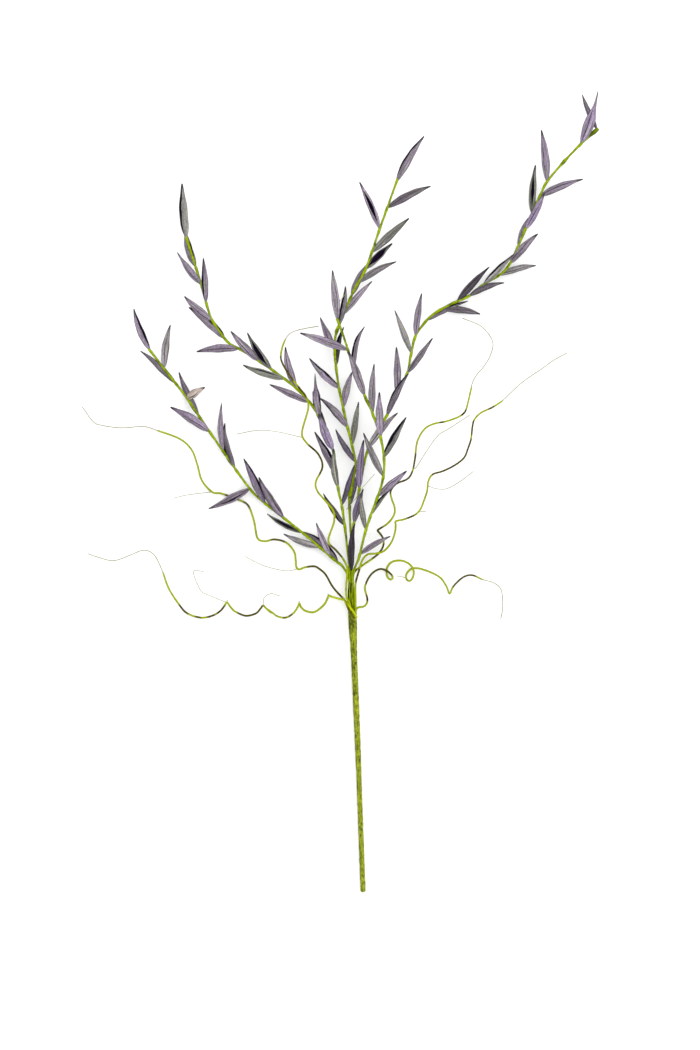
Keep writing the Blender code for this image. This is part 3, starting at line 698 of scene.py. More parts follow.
def off_the_table(points, soft=3 * MM):
    """Points nearer to the table than the soft margin, or under it, settle above it and keep their order."""
    low = points[..., 2] < soft
    points[..., 2] = np.where(low, soft * np.exp((points[..., 2] - soft) / soft), points[..., 2])
    return points


def new_material(name):
    material = bpy.data.materials.new(name)
    material.use_nodes = True
    return material, material.node_tree, material.node_tree.nodes["Principled BSDF"]


def add_node(tree, kind, values=(), **choices):
    """A node with its choices set, and its inputs set or joined by their number or name."""
    node = tree.nodes.new(kind)
    for choice, value in choices.items():
        setattr(node, choice, value)
    set_inputs(tree, node, dict(values))
    return node


def join(tree, value, socket):
    if isinstance(value, bpy.types.NodeSocket):
        tree.links.new(value, socket)
    elif value is not None:
        if hasattr(value, "__len__") and socket.type == "RGBA" and len(value) == 3:
            value = (*value, 1)
        socket.default_value = value


def reading(tree, name):
    """The three numbers that a piece's points carry under this name."""
    source = add_node(tree, "ShaderNodeAttribute", attribute_name=name)
    return add_node(tree, "ShaderNodeSeparateXYZ", {0: source.outputs["Vector"]}).outputs


def maths(tree, operation, first, second=None, third=None):
    values = {0: first, 1: second, 2: third}
    return add_node(tree, "ShaderNodeMath", values, operation=operation).outputs[0]


def product(tree, first, *others):
    for other in others:
        first = maths(tree, "MULTIPLY", first, other)
    return first


def blend_colours(tree, share, first, second):
    """The first colour, turned into the second as far as the share says."""
    return add_node(tree, "ShaderNodeMix", {0: share, 6: first, 7: second}, data_type="RGBA").outputs[2]


def brightened(tree, colour, value):
    return add_node(tree, "ShaderNodeHueSaturation", {"Value": value, "Color": colour}).outputs[0]


def ramp(tree, value, low, high, start=0.0, stop=1.0):
    """The value taken smoothly from low and high to start and stop, and kept between them."""
    values = {0: value, 1: low, 2: high, 3: start, 4: stop}
    return add_node(tree, "ShaderNodeMapRange", values, interpolation_type="SMOOTHSTEP").outputs[0]


def noise_at(tree, vector, scale, detail=2.0, roughness=0.5):
    values = {"Vector": vector, "Scale": scale, "Detail": detail, "Roughness": roughness}
    return add_node(tree, "ShaderNodeTexNoise", values).outputs["Fac"]


def place(tree):
    return tree.nodes.new("ShaderNodeTexCoord").outputs["Object"]


def new_group(name, inputs, outputs):
    """A shader node group with these named inputs, each with its kind and value, and these outputs."""
    group = bpy.data.node_groups.new(name, "ShaderNodeTree")
    for label, kind, value in inputs:
        socket = group.interface.new_socket(label, in_out="INPUT", socket_type=kind)
        socket.default_value = value
    for label, kind in outputs:
        group.interface.new_socket(label, in_out="OUTPUT", socket_type=kind)
    return group, group.nodes.new("NodeGroupInput").outputs, group.nodes.new("NodeGroupOutput").inputs


def paper_fibre_group():
    """The fine crossed fibres of crepe paper: lighter and darker flecks, and their height."""
    if "paper fibre" in bpy.data.node_groups:
        return bpy.data.node_groups["paper fibre"]
    group, given, result = new_group(
        "paper fibre",
        (("Colour", "NodeSocketColor", (0.5, 0.5, 0.5, 1)), ("Amount", "NodeSocketFloat", 0.3),
         ("Scale", "NodeSocketFloat", 1.0)),
        (("Colour", "NodeSocketColor"), ("Height", "NodeSocketFloat"), ("Roughness", "NodeSocketFloat")),
    )
    where = add_node(group, "ShaderNodeVectorMath", {0: place(group)}, operation="SCALE")
    join(group, given["Scale"], where.inputs["Scale"])
    coarse = noise_at(group, where.outputs[0], 420.0, 3.0, 0.6)
    fine = noise_at(group, where.outputs[0], 1900.0, 2.0, 0.6)
    height = maths(group, "MULTIPLY_ADD", fine, 0.45, coarse)
    fleck = ramp(group, height, 0.5, 0.95, -1.0, 1.0)
    lightness = maths(group, "MULTIPLY_ADD", fleck, given["Amount"], 1.0)
    join(group, brightened(group, given["Colour"], lightness), result["Colour"])
    join(group, height, result["Height"])
    join(group, ramp(group, height, 0.4, 1.0, 0.62, 0.86), result["Roughness"])
    return group


def smudge_group():
    """Dark smudges that gather in patches, and darkening wherever a mask asks for it, which on the stem and
    twigs also carries painted shade.
    """
    if "smudges" in bpy.data.node_groups:
        return bpy.data.node_groups["smudges"]
    group, given, result = new_group(
        "smudges",
        (("Colour", "NodeSocketColor", (0.5, 0.5, 0.5, 1)), ("Dark", "NodeSocketColor", (0.1, 0.1, 0.1, 1)),
         ("Patches", "NodeSocketFloat", 0.5), ("Mask", "NodeSocketFloat", 0.0),
         ("Size", "NodeSocketFloat", 1.0)),
        (("Colour", "NodeSocketColor"), ("Mask", "NodeSocketFloat")),
    )
    where = add_node(group, "ShaderNodeVectorMath", {0: place(group), 1: given["Size"]}, operation="DIVIDE")
    broad = noise_at(group, where.outputs[0], 90.0, 3.0, 0.65)
    grain = noise_at(group, where.outputs[0], 600.0, 2.0, 0.6)
    patch = ramp(group, maths(group, "MULTIPLY_ADD", grain, 0.25, broad), 0.66, 0.86)
    patch = product(group, patch, given["Patches"])
    ragged = product(group, given["Mask"], ramp(group, grain, 0.25, 0.6, 0.75, 1.0))
    mask = maths(group, "MINIMUM", maths(group, "ADD", patch, ragged), 1.0)
    join(group, blend_colours(group, mask, given["Colour"], given["Dark"]), result["Colour"])
    join(group, mask, result["Mask"])
    return group


def use_group(tree, group, **values):
    node = tree.nodes.new("ShaderNodeGroup")
    node.node_tree = group
    set_inputs(tree, node, values)
    return node.outputs


def set_inputs(tree, node, values):
    """Sets or joins a node's inputs, by their names or numbers."""
    for socket, value in values.items():
        join(tree, value, node.inputs[socket])


def bump(tree, height, strength, distance, normal=None):
    values = {"Height": height, "Strength": strength, "Distance": distance, "Normal": normal}
    return add_node(tree, "ShaderNodeBump", values).outputs[0]


def leaf_material():
    """Matte lavender-grey skin with fine lengthwise veins, and a dark aubergine hollow with rubbed rims.

    The points carry blade = (across, along, hollow), where hollow is 1 inside the roll, 0 outside it, and -1
    outside it where the roll shows its slit, and look = (tint, lightness, seed).
    """
    chosen = settings("leaves")
    material, tree, shader = new_material("lavender_leaf_skin")
    across, along, hollow = reading(tree, "blade")
    tint, lightness, seed = reading(tree, "look")
    seed_place = product(tree, seed, 41.0)

    def streaks(times_across, times_along, detail):
        values = {0: product(tree, across, times_across), 1: product(tree, along, times_along), 2: seed_place}
        where = add_node(tree, "ShaderNodeCombineXYZ", values)
        return noise_at(tree, where.outputs[0], 1.0, detail, 0.6)

    def off(centre):
        return maths(tree, "ABSOLUTE", maths(tree, "SUBTRACT", across, centre))

    broad = streaks(3.2, 1.1, 2.0)
    veins = streaks(13.0, 2.0, 3.0)
    threads = streaks(34.0, 5.0, 1.0)
    mottle = noise_at(tree, place(tree), 520.0, 3.0, 0.6)
    patches = noise_at(tree, place(tree), 75.0, 3.0)
    # Greenish, purple and beige leaves by their tint, and grey patches on them all
    skin = chosen.lavender
    for share, colour in (
        (ramp(tree, tint, 0.0, 1.0), chosen.grey), (ramp(tree, tint, -1.0, 0.0, 1.0, 0.0), chosen.purple),
        (ramp(tree, tint, 1.0, 2.0), chosen.beige), (ramp(tree, patches, 0.5, 0.72, 0.0, 0.6), chosen.grey),
    ):
        skin = blend_colours(tree, share, skin, colour)
    # Lighter and darker along the veins, streaks and threads and in mottles, and darker at the root
    light = product(
        tree, lightness, ramp(tree, veins, 0.36, 0.64, 0.52, 1.34), ramp(tree, broad, 0.32, 0.68, 0.72, 1.24),
        ramp(tree, threads, 0.34, 0.66, 0.74, 1.2), ramp(tree, mottle, 0.3, 0.7, 0.80, 1.18),
        ramp(tree, along, 0.0, 0.10, 0.72, 1.0))
    skin = brightened(tree, skin, light)
    # The greenest leaves have a pale stripe along the middle
    striped = product(tree, ramp(tree, off(0.08), 0.06, 0.26, 0.55, 0.0), ramp(tree, tint, 0.55, 0.85))
    skin = blend_colours(tree, striped, skin, chosen.stripe)
    # A dark rim, partly the leaf's own dark edge and partly painted shade where the roll turns away, painted
    # shade in a crease that wanders beside the middle, and a dark tip
    side = maths(tree, "ABSOLUTE", across)
    rim_dark_and_shade = product(tree, ramp(tree, side, 0.72, 0.93), ramp(tree, broad, 0.3, 0.6, 0.5, 1.0),
                     ramp(tree, hollow, -0.9, -0.1, 0.12, 1.0))
    crease_at = maths(tree, "MULTIPLY_ADD", seed, 0.7, -0.8)
    crease_at = maths(tree, "MULTIPLY_ADD", streaks(0.0, 1.6, 1.0), 0.9, crease_at)
    crease_shade = product(tree, ramp(tree, off(crease_at), 0.03, 0.13, 1.0, 0.0),
                      ramp(tree, along, 0.55, 0.95, 0.85, 0.3))
    dark = maths(tree, "MAXIMUM", crease_shade, ramp(tree, along, 0.80, 0.96, 0.0, 0.9))
    skin = blend_colours(tree, maths(tree, "MAXIMUM", rim_dark_and_shade, dark), skin, chosen.edge)
    inside = blend_colours(tree, ramp(tree, side, 0.92, 1.0, 0.0, 0.3), chosen.hollow, chosen.grey)
    inside = blend_colours(tree, ramp(tree, veins, 0.55, 0.8, 0.0, 0.06), inside, chosen.purple)
    colour = blend_colours(tree, ramp(tree, hollow, 0.45, 0.55), skin, inside)
    fibre = use_group(tree, paper_fibre_group(), Colour=colour, Amount=0.16, Scale=1.0)
    grain = bump(tree, fibre["Height"], 0.18, 0.15 * MM)
    relief = maths(tree, "ADD", veins, product(tree, threads, 0.5))
    set_inputs(tree, shader, {
        "Base Color": fibre["Colour"], "Roughness": ramp(tree, veins, 0.3, 0.7, 0.68, 0.86),
        "Specular IOR Level": 0.05, "Sheen Weight": 0.02, "Sheen Roughness": 0.5,
        "Normal": bump(tree, relief, 0.5, 0.35 * MM, grain),
    })
    return material


def wrapped_material(name, lime, shade, patches, size, fibres):
    """Lime crepe paper wound round a stem, darkened in patches and where the points ask for it, partly with
    real smudges and partly with painted shade, and turned to a dark green of painted shade in crevices.

    The points carry wrap = (dark, along in centimetres, painted shade of a crevice).
    """
    material, tree, shader = new_material(name)
    dark, along, deep = reading(tree, "wrap")
    smudged = use_group(tree, smudge_group(), Colour=lime, Dark=shade, Patches=patches, Mask=dark, Size=size)
    stretch = add_node(tree, "ShaderNodeCombineXYZ", {0: along})
    drift = ramp(tree, noise_at(tree, stretch.outputs[0], 1.3, 2.0), 0.35, 0.7, 0.88, 1.15)
    # Painted shade of the crevices and the pocket, as a dark green
    sunk = blend_colours(tree, deep, brightened(tree, smudged["Colour"], drift), GAP_SHADE_COLOUR)
    fibre = use_group(tree, paper_fibre_group(), Colour=sunk, Amount=fibres, Scale=1.0)
    set_inputs(tree, shader, {
        "Base Color": fibre["Colour"], "Roughness": fibre["Roughness"], "Specular IOR Level": 0.06,
        "Normal": bump(tree, fibre["Height"], 0.45, 0.3 * MM),
    })
    return material


def tendril_material():
    """Lime bark that turns dark brown in stretches and ends in a pale thread.

    The points carry wrap = (dark, along in centimetres, pale), where a dark below 0 is brighter than
    the bark.
    """
    chosen = settings("tendrils")
    material, tree, shader = new_material("olive_tendril_bark")
    dark, _, pale = reading(tree, "wrap")
    smudged = use_group(
        tree, smudge_group(), Colour=chosen.lime, Dark=chosen.brown, Patches=0.45, Mask=dark, Size=0.6)
    fresh = brightened(tree, smudged["Colour"], ramp(tree, dark, -1.0, 0.0, 1.5, 1.0))
    colour = blend_colours(tree, pale, fresh, chosen.pale)
    fibre = use_group(tree, paper_fibre_group(), Colour=colour, Amount=0.2, Scale=1.6)
    set_inputs(tree, shader, {
        "Base Color": fibre["Colour"], "Roughness": ramp(tree, smudged["Mask"], 0.0, 1.0, 0.62, 0.45),
        "Specular IOR Level": 0.06, "Normal": bump(tree, fibre["Height"], 0.4, 0.2 * MM),
    })
    return material


def table_material():
    chosen = settings("stage")
    material, tree, shader = new_material("pale_table")
    mottle = ramp(tree, noise_at(tree, place(tree), 2.0, 3.0), 0.3, 0.7, 0.99, 1.0)
    tone = brightened(tree, chosen.floor_colour, mottle)
    set_inputs(tree, shader, {"Base Color": tone, "Roughness": 0.9, "Specular IOR Level": 0.1})
    return material


def tape_relief(runs, pitch, edge, lumps, seed):
    """How far wound tape stands out round a line: a step at each overlap, and soft lumps."""
    def relief(index, angles):
        turns = runs[index] / pitch + angles / math.tau
        step = edge * (1 - (turns - np.floor(turns))) ** 3
        bulge = [noise.noise(Vector((math.cos(a) * 0.9, math.sin(a) * 0.9, runs[index] / (6 * MM)))
                             + Vector((seed, 0, 0))) for a in angles]
        return step + lumps * np.array(bulge)
    return relief


def tape_lines(runs, angles, pitch):
    """1 along the edge of the wound tape, and 0 away from it."""
    turns = runs[:, None] / pitch + angles[None, :] / math.tau
    return bell((turns - np.floor(turns)) / 0.09)


def lengthwise_streaks(runs, angles, fineness, length, seed):
    """Soft streaks along a line, from about -0.5 to 0.5, at each place along it and round it."""
    def streak(angle, run):
        return noise.noise(
            Vector((math.cos(angle) * fineness, math.sin(angle) * fineness + seed, run / length)))
    return np.array([[streak(angle, run) for angle in angles] for run in runs])


def wrap_reading(dark, runs, third, sides):
    """The reading of the wrapped materials, from values for the whole tube, each ring or each place."""
    readings = [np.asarray(value, float) for value in (dark, runs * 100, third)]
    readings = [value[:, None] if value.ndim == 1 else value for value in readings]
    return np.stack([np.broadcast_to(value, (len(runs), sides)) for value in readings], axis=-1)


def build_stem():
    chosen = settings("wrap")
    line, runs = evenly(smooth_points([(x * MM, y * MM, 0) for x, y in STEM_LINE]), 0.7 * MM)
    line[:, 2] = stem_height(line[:, 1]) + 0.1 * MM
    relief = tape_relief(runs, chosen.tape_pitch, chosen.tape_edge, chosen.lumps, 3.7)
    rings, angles = tube_rings(line, stem_radius(line[:, 1]), STEM_SIDES, relief)
    rings = off_the_table(rings, 0.8 * MM)
    draw = random.Random("stem smudges")
    dark = 0.25 * tape_lines(runs, angles, chosen.tape_pitch)
    dark += 1.1 * lengthwise_streaks(runs, angles, 4.2, 14 * MM, 5.1)
    dark += 1.4 * lengthwise_streaks(runs, angles, 9.0, 3.0 * MM, 8.3)
    for _ in range(SMALL_STEM_SMUDGES):
        centre, turn = draw.uniform(0, runs[-1]), draw.uniform(0, math.tau)
        long, wide, depth = draw.uniform(0.8, 3) * MM, draw.uniform(0.12, 0.35), draw.uniform(0.2, 0.8)
        dark += depth * spot((runs - centre) / long, angles_from(angles, turn) / wide)
    for at, turn, long, depth in STEM_SMUDGES:
        dark += depth * spot((line[:, 1] / MM - at) / long, angles_from(angles, turn) / 0.5)
    # The left side is darker all along as painted shade, the right side has a painted highlight line, and the
    # part near the twigs is darker all round
    across = np.sin(angles)
    side_shade_and_highlight = 0.20 + 0.34 * ease((-0.35 - across) / 0.6) - 0.2 * bell((across - 0.6) / 0.28)
    near_top = 0.24 * ease((line[:, 1] + 75 * MM) / (75 * MM))[:, None]
    values = wrap_reading(np.clip(dark + side_shade_and_highlight + near_top, 0, 1), runs, 0.0, STEM_SIDES)

    def end_rings(end, ahead, steps):
        return np.array([line[end] + ahead * far + (rings[end] - line[end]) * share for share, far in steps])

    foot = end_rings(0, unit(line[0] - line[1]), FOOT_STEPS)
    tops = end_rings(-1, unit(line[-1] - line[-2]), RIM_STEPS)
    inside = values[-1:].repeat(len(tops), axis=0)
    # From the pocket's edge down into it, the wrap takes painted shade
    inside[1:, :, 2] = 0.8
    shape = Shape("wrap")
    shape.add_rings(np.concatenate([foot, rings, tops]),
                    wrap=np.concatenate([values[:1].repeat(len(foot), axis=0), values, inside]))
    paper = wrapped_material("lime_stem_wrap", chosen.lime, chosen.shade, 0.8, 0.8, 0.30)
    shape.finish("stem_wrap", paper, "lime_wrap", "main_stem")


def twig_radii(name, runs, leaves):
    """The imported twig's thickness, with a collar of tape at each leaf and the odd knob."""
    chosen = settings("twigs")
    past_crown = runs - POCKET_DEPTH - BUNDLE_LENGTH
    swelling = ease(past_crown / BUNDLE_LENGTH)
    full = TWIG_RADIUS + (TWIG_TIP_RADIUS - TWIG_RADIUS) * (runs / runs[-1])
    radii = STRAND_RADIUS + (full - STRAND_RADIUS) * swelling
    radii = radii * (1 + 0.10 * (1 - swelling)) * (chosen.thickness + (1 - chosen.thickness) * (1 - swelling))
    collars = np.zeros_like(runs)
    for along, *_ in leaves:
        off = (past_crown - along * MM) / MM
        collars = np.maximum(collars, bell(np.minimum(off + 1.5, 0) / 6.5) * (1 - ease(off / 2.2)))
    radii = radii * (0.96 + chosen.collar * collars)
    for along, half, swell, _ in TWIG_KNOBS[name]:
        radii = radii * (1 + swell * bell((past_crown / MM - along) / half))
    return radii


def twig_darkness(name, number, runs, angles):
    """How dark the paper is: painted shade on the underside and the flanks, with tape edges, streaks and
    smudges.
    """
    # Painted shade, deepest on the underside and faint on top
    dark = np.repeat(0.75 * ease((1.1 - np.cos(angles)) / 1.3)[None, :], len(runs), axis=0)
    dark += 0.30 * tape_lines(runs, angles, TWIG_TAPE_PITCH)
    dark += 0.8 * lengthwise_streaks(runs, angles, 1.6, 8 * MM, 3.0 * number)
    draw = random.Random(name + " smudges")
    for _ in range(int(runs[-1] / TWIG_SMUDGE_EVERY)):
        centre, long = draw.uniform(60 * MM, runs[-1]), draw.uniform(1.5, 5) * MM
        depth = draw.uniform(0.1, 0.45)
        dark += depth * bell((runs - centre) / long)[:, None]
    for along, half, _, darkness in TWIG_KNOBS[name]:
        off = (runs - POCKET_DEPTH - BUNDLE_LENGTH - along * MM) / (half * MM)
        dark += darkness * bell(off)[:, None]
    return np.clip(dark, 0, 1)


def crevice_shading(name, number, line, runs, rings, angles):
    """How much painted shade each place takes, as deep in a crevice: in the bundle, the sides that face its
    middle, a stretch of each flank, and the painted shade of the dark gaps."""
    across = np.sin(angles)
    in_bundle = 1 - ease((runs - POCKET_DEPTH - 20 * MM) / (15 * MM))
    middle = np.array([crown_place(0, 0, y) for y in line[:, 1]])
    centres = rings.mean(axis=1)
    inwards = ((middle - centres)[:, None, :] * (rings - centres[:, None, :])).sum(axis=2)
    inwards = np.clip(1.3 * inwards / (STRAND_RING_RADIUS * STRAND_RADIUS) + BUNDLE_SHADE[name], 0, 1)
    flanks = ease((np.abs(across) - 0.72) / 0.2)[None, :]
    flanks = flanks * ease(np.sin(runs / (7 * MM) + number) + 0.4)[:, None]
    deep = in_bundle[:, None] * np.clip(inwards + 0.8 * flanks, 0, 1)
    from_top = (runs - POCKET_DEPTH) / MM
    for left, right, start, stop in SHADED_GAPS.get(name, ()):
        within = ease((across - left) / 0.2) * ease((right - across) / 0.2)
        reached = ease((from_top - start) / 2.5) * ease((stop - from_top) / 2.5)
        deep = np.maximum(deep, reached[:, None] * within[None, :])
    return deep


def build_twigs():
    chosen = settings("twigs")
    paper = wrapped_material("lime_twig_wrap", chosen.lime, chosen.shade, 0.55, 0.6, 0.25)
    for number, (name, (angle, points, leaves)) in enumerate(TWIGS.items()):
        line, runs = evenly(twig_line(angle, points), 0.9 * MM)
        relief = tape_relief(runs, TWIG_TAPE_PITCH, 0.10 * MM, 0.17 * MM, 11.0 + number)
        rings, angles = tube_rings(line, twig_radii(name, runs, leaves), TWIG_SIDES, relief)
        rings = off_the_table(rings)
        dark = twig_darkness(name, number, runs, angles)
        deep = crevice_shading(name, number, line, runs, rings, angles)
        shape = Shape("wrap")
        shape.add_rings(rings, wrap=wrap_reading(dark, runs, deep, TWIG_SIDES))
        shape.finish(name.replace("branch", "twig"), paper, "lime_wrap", name)


def outline(shares):
    """The blade's width at these shares of its length, as a share of its full width."""
    at, width = np.array(LEAF_OUTLINE).T
    return np.interp(shares, at, width)


def rolled_section(turn, gap, flatness):
    """Rings of a rolled blade, each 2 wide as seen from above: their places, the way that the sheet faces
    there, and how far across the sheet each is. Each ring has its turn, and half the gap that it leaves open,
    in radians."""
    reach = math.pi - gap
    across = np.linspace(-1, 1, LEAF_ACROSS)[None, :]
    angle = reach[:, None] * across - turn[:, None]
    x, z = np.sin(angle), np.cos(angle) * flatness
    facing = np.stack([np.sin(angle) * flatness, np.cos(angle)], axis=-1)
    facing /= np.linalg.norm(facing, axis=-1)[..., None]
    half = (x.max(axis=1) - x.min(axis=1))[:, None] / 2
    x = (x - (x.max(axis=1) + x.min(axis=1))[:, None] / 2) / half
    z = (z - (z.max(axis=1) + z.min(axis=1))[:, None] / 2) / half
    return np.stack([x, z], axis=-1), facing, across.repeat(len(turn), axis=0)


def add_leaf(shape, root, bearing, lift, turn, length, bow, arch, look, slim, draw):
    """One rolled leaf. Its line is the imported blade's, and its sheet is rolled, veined and rimmed."""
    chosen = settings("leaves")
    back_turn, gap, tint, lightness, width = look
    ahead = np.array((math.cos(bearing) * math.cos(lift), math.sin(bearing) * math.cos(lift), math.sin(lift)))
    level = np.array((-math.sin(bearing), math.cos(bearing), 0))
    up = np.cross(ahead, level)
    back = up * math.cos(turn) + level * math.sin(turn)
    shares = LEAF_SHARES
    swing = 4 * shares * (1 - shares)  # 0 at both ends, and 1 in the middle
    hook = LEAF_HOOK * (np.maximum(0, shares - HOOK_FROM) / (1 - HOOK_FROM)) ** 2
    middle = (root + ahead * (length * shares)[:, None] + level * (bow * swing)[:, None]
              + back * (arch * swing - hook)[:, None])
    seed = draw.random()
    slim = max(slim, draw.uniform(-0.12, 0.12))
    fullness = outline(shares) * (1 + 0.04 * np.sin(shares * 17 + seed * 40))
    fullness = fullness * (1 - slim * ease((shares - 0.45) / 0.3))
    half = (length * math.cos(lift) * width / 100 * chosen.fullness * fullness - chosen.sheet * 0.8) / 2
    half = np.maximum(half, 0.25 * MM)
    slit = gap < SLIT_UNDER
    wander = draw.uniform(-9, 9) * (shares - 0.4)
    twist = np.sign(back_turn) * 26 * ease((shares - 0.55) / 0.4) if slit else 0
    turns = np.radians(back_turn + wander + twist)
    if slit:
        # A slit that looks up is a short spindle, and one at the side runs nearly from end to end
        closing = np.clip(np.sin(np.pi * np.clip((shares - 0.03) / 0.94, 0, 1)), 0, 1)
        closing = closing ** (2.4 if abs(back_turn) > SLIT_UP_TURN else 0.55)
        gaps = np.radians(5 + (gap - 5) * closing * (1 + 0.10 * np.sin(shares * 23 + seed * 17)))
    else:
        gaps = np.radians(gap + 4 * np.sin(shares * 15 + seed * 29))
    section, facing, across = rolled_section(turns, gaps, chosen.squash)
    sheet = chosen.sheet * np.minimum(1, 0.25 + 1.1 * fullness)[:, None]
    rim = 1 + 0.35 * np.abs(across) ** 8
    veins = chosen.vein_relief * np.cos(across * math.pi * 4.5 + seed * 6) * np.minimum(1, fullness)[:, None]
    keel = -0.16 * MM * np.exp(-(across / 0.10) ** 2) * np.minimum(1, fullness)[:, None]

    def skin(distance):
        flat = section * half[:, None, None] + facing * distance[..., None]
        return middle[:, None, :] - level * flat[..., :1] + up * flat[..., 1:]

    outer = skin(sheet / 2 * rim + veins + keel)
    inner = skin(-sheet / 2 * rim + veins * 0.5)
    edges = []
    for column, inward in ((-1, -2), (0, 1)):
        beyond = outer[:, column] - outer[:, inward]
        beyond /= np.linalg.norm(beyond, axis=1)[:, None] + 1e-9
        edges.append(((outer[:, column] + inner[:, column]) / 2 + beyond * sheet * 0.35)[:, None])
    rings = np.concatenate([outer, edges[0], inner[:, ::-1], edges[1]], axis=1)
    ones = np.ones((len(shares), 1))
    around_across = np.concatenate([across, ones, across[:, ::-1], -ones], axis=1)
    outside = -1.0 if slit else 0.0
    around_hollow = [across * 0 + outside, ones * outside, across * 0 + 1, ones * outside]
    around_hollow = np.concatenate(around_hollow, axis=1)
    blade = np.stack([around_across, np.repeat(shares[:, None], rings.shape[1], 1), around_hollow], axis=-1)
    rings = off_the_table(rings)
    ends = off_the_table(np.array([middle[0], middle[-1] + ahead * 0.3 * MM]))
    look = (tint / 10, (lightness / 100) ** 2.2, seed)
    shape.add_rings(rings[:, ::-1], ends[0], ends[1], blade=blade[:, ::-1], look=look)


def build_leaves():
    skin = leaf_material()
    for name, (angle, points, leaves) in TWIGS.items():
        curve = twig_line(angle, points)
        runs = runs_in_plan(curve)
        shape = Shape("blade", "look")
        draw = random.Random(name)
        form = random.Random(name + " form")
        for number, (leaf, look) in enumerate(zip(leaves, LEAF_LOOKS[name], strict=True), 1):
            along, lean, length, turn, bow, lift = leaf
            raised, slim, own_lift = LEAF_QUIRKS.get((name, number), (0, 0, None))
            drawn_lift = draw.uniform(*LIFT_RANGE)
            arch = draw.uniform(*ARCH_RANGE)
            run = min(POCKET_DEPTH + BUNDLE_LENGTH + along * MM, runs[-1] - TWIG_TIP_RADIUS)
            here = 1 + int(np.argmin(np.abs(runs[1:-1] - run)))
            heading = curve[here + 1] - curve[here - 1]
            bearing = math.atan2(heading[1], heading[0]) - math.radians(lean)
            lift = lift if own_lift is None else own_lift
            lift = math.radians(drawn_lift if lift is None else lift)
            full = length * MM / math.cos(lift)
            root = curve[here] + np.array((0, 0, raised * MM))
            add_leaf(shape, root, bearing, lift, math.radians(turn), full, bow * MM, arch, look, slim, form)
        shape.finish(name.replace("branch", "leaves"), skin, "lavender_leaf", name)


def stretch_mask(runs, stretches):
    """1 along each stretch, given in millimetres, fading over a millimetre or two at its ends."""
    mask = np.zeros_like(runs)
    for start, stop in stretches:
        mask = np.maximum(mask, ease((runs / MM - start + 2) / 3) * ease((stop + 2 - runs / MM) / 3))
    return mask


def add_thread(shape, points, radius, tip_radius, sides, dark=0.0, pale=1.0):
    line, runs = evenly(smooth_points(points), 1.2 * MM)
    share = runs / runs[-1]
    rings, _ = tube_rings(line, radius + (tip_radius - radius) * share, sides)
    shape.add_rings(off_the_table(rings, 1 * MM), wrap=wrap_reading(dark, runs, pale, sides))


def lowered(curve, plan, settle):
    """Points over a plan, in metres, from the curve's place nearest to it down to the settled height."""
    start = curve[int(np.argmin(np.hypot(*(curve[:, :2] - np.array(plan[0]) * MM).T)))]
    points = [Vector(start)]
    for number, (x, y) in enumerate(plan[1:], 1):
        share = ease(number / (len(plan) - 1) * 1.4)
        points.append(Vector((x * MM, y * MM, start[2] + (settle - start[2]) * float(share))))
    return points


def build_tendrils():
    chosen = settings("tendrils")
    bark = tendril_material()
    for number, (name, (angle, points, dark, pale_from)) in enumerate(TENDRILS.items()):
        root = [crown_place(angle, TENDRIL_RING_RADIUS, SEAT_GAP)]
        route = in_metres(points)
        whole = runs_in_plan(smooth_points(root + route))[-1]
        if name in TENDRIL_ROOTS:
            dropped, over = TENDRIL_ROOTS[name]
            root = in_metres(over)
            route = route[dropped:]
        curve = smooth_points(root + route)
        line, runs = evenly(curve, 0.8 * MM)
        runs = runs + whole - runs[-1]
        share = np.clip(runs / whole, 0, 1)
        pale = ease((runs / MM - pale_from + 3) / 5)
        radii = TENDRIL_RADIUS * chosen.thickness * (1 - 0.14 * share) * (1 - 0.5 * pale)
        relief = tape_relief(runs, 7 * MM, 0.03 * MM, 0.10 * MM, 31.0 + number)
        rings, _ = tube_rings(line, radii, TENDRIL_SIDES, relief)
        shape = Shape("wrap")
        mask = stretch_mask(runs, dark) * 0.94
        tone, reach = ROOT_TONES.get(name, (0, 1))
        mask = mask + tone * (1 - ease((runs / MM - reach + 6) / 10))
        values = wrap_reading(mask, runs, pale, TENDRIL_SIDES)
        shape.add_rings(off_the_table(rings, 1 * MM), wrap=values)
        for spur in SPURS.get(name, ()):
            add_thread(shape, lowered(curve, spur, 5 * MM), 0.7 * MM, 0.4 * MM, SPUR_SIDES, 0.2, 0.0)
        for hair in HAIRS.get(name, ()):
            add_thread(shape, lowered(curve, hair, 2.2 * MM), chosen.hair * 1.3, chosen.hair, HAIR_SIDES)
        shape.finish(name.replace("tendril", "vine"), bark, "olive_vine", name)


def build_loose_hairs():
    chosen = settings("tendrils")
    shape = Shape("wrap")
    for hair in LOOSE_HAIRS:
        add_thread(shape, in_metres(hair), chosen.hair, chosen.hair, HAIR_SIDES, 0.0, 0.9)
    shape.finish("loose_hairs", bpy.data.materials["olive_tendril_bark"], "olive_vine")


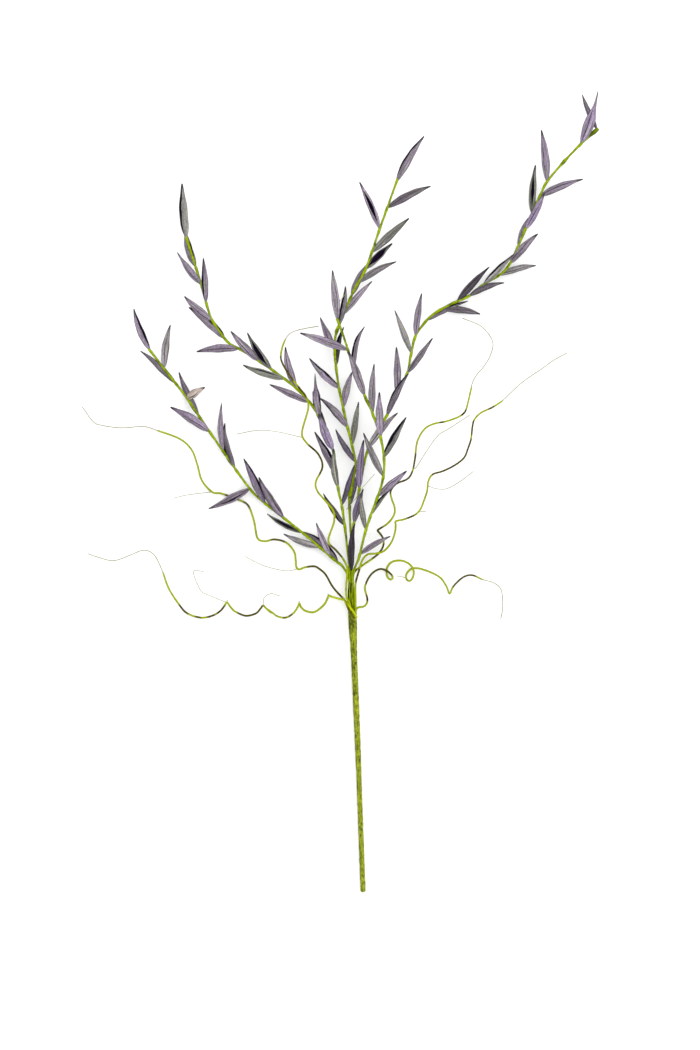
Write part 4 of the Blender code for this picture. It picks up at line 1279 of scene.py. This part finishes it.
def build_stage():
    chosen = settings("stage")
    half = chosen.floor_size / 2
    mesh = bpy.data.meshes.new("table")
    corners = [(-half, -half, 0), (half, -half, 0), (half, half, 0), (-half, half, 0)]
    mesh.from_pydata(corners, [], [(0, 1, 2, 3)])
    mesh.materials.append(table_material())
    table = bpy.data.objects.new("table", mesh)
    bpy.context.scene.collection.objects.link(table)
    world = bpy.data.worlds.new("studio")
    bpy.context.scene.world = world
    world.use_nodes = True
    sky = world.node_tree.nodes["Background"]
    set_inputs(world.node_tree, sky, {"Color": (1, 1, 1, 1), "Strength": chosen.sky})
    lamp = bpy.data.lights.new("softbox", "AREA")
    lamp.shape = "SQUARE"
    lamp.size = LAMP_SIDE
    lamp.energy = chosen.softbox
    softbox = bpy.data.objects.new("softbox", lamp)
    softbox.location = LAMP_PLACE
    softbox.rotation_mode = "QUATERNION"
    softbox.rotation_quaternion = (-softbox.location).to_track_quat("-Z", "Y")
    softbox.visible_camera = False
    bpy.context.scene.collection.objects.link(softbox)
    bpy.context.scene.view_settings.view_transform = "Standard"
    aim_camera(chosen.lens)


def aim_camera(lens):
    """The camera looks straight down, from so high that the image takes in what the picture did."""
    camera = bpy.data.cameras.new("camera")
    camera.sensor_width = SENSOR
    camera.lens = lens
    height = lens / SENSOR * IMAGE_HEIGHT * PIXEL
    camera.clip_start, camera.clip_end = 0.1, 100
    holder = bpy.data.objects.new("camera", camera)
    holder.location = Vector(CAMERA_OVER) + Vector((0, 0, height))
    bpy.context.scene.collection.objects.link(holder)
    bpy.context.scene.camera = holder


class SPRAY_OT_stem(bpy.types.Operator):
    """Winds the paper wrap of the main stem"""

    bl_idname = "spray.stem"
    bl_label = "Wrapped stem"

    def execute(self, context):
        build_stem()
        return {"FINISHED"}


class SPRAY_OT_twigs(bpy.types.Operator):
    """Builds the five lime twigs that stand in the wrapped stem"""

    bl_idname = "spray.twigs"
    bl_label = "Twigs"

    def execute(self, context):
        build_twigs()
        return {"FINISHED"}


class SPRAY_OT_leaves(bpy.types.Operator):
    """Rolls the leaves of each twig and sets them on it"""

    bl_idname = "spray.leaves"
    bl_label = "Leaves"

    def execute(self, context):
        build_leaves()
        return {"FINISHED"}


class SPRAY_OT_tendrils(bpy.types.Operator):
    """Curls the six tendrils, with their spurs and fine hairs"""

    bl_idname = "spray.tendrils"
    bl_label = "Tendrils"

    def execute(self, context):
        build_tendrils()
        build_loose_hairs()
        return {"FINISHED"}


class SPRAY_OT_stage(bpy.types.Operator):
    """Lays the pale table and sets the light and the camera"""

    bl_idname = "spray.stage"
    bl_label = "Table, light and camera"

    def execute(self, context):
        build_stage()
        return {"FINISHED"}


STEPS = (SPRAY_OT_stem, SPRAY_OT_twigs, SPRAY_OT_leaves, SPRAY_OT_tendrils, SPRAY_OT_stage)
SETTINGS = {
    "wrap": SprayWrapSettings,
    "twigs": SprayTwigSettings,
    "leaves": SprayLeafSettings,
    "tendrils": SprayTendrilSettings,
    "stage": SprayStageSettings,
}


class SPRAY_PT_panel(bpy.types.Panel):
    """Lists the sizes and colours of the spray, and the steps that build it"""

    bl_idname = "SPRAY_PT_panel"
    bl_label = "Leaf spray"
    bl_space_type = "VIEW_3D"
    bl_region_type = "UI"
    bl_category = "Spray"

    def draw(self, context):
        for (name, group), step in zip(SETTINGS.items(), STEPS):
            box = self.layout.box()
            box.label(text=step.bl_label)
            for label in group.__annotations__:
                box.prop(settings(name), label)
            box.operator(step.bl_idname)


CLASSES = (*SETTINGS.values(), *STEPS, SPRAY_PT_panel)


def register():
    for kind in CLASSES:
        bpy.utils.register_class(kind)
    for name, group in SETTINGS.items():
        setattr(bpy.types.Scene, "spray_" + name, PointerProperty(type=group))


def unregister():
    for name in SETTINGS:
        delattr(bpy.types.Scene, "spray_" + name)
    for kind in reversed(CLASSES):
        bpy.utils.unregister_class(kind)


def main():
    register()
    bpy.ops.spray.stem()
    bpy.ops.spray.twigs()
    bpy.ops.spray.leaves()
    bpy.ops.spray.tendrils()
    bpy.ops.spray.stage()


if __name__ == "__main__":
    main()
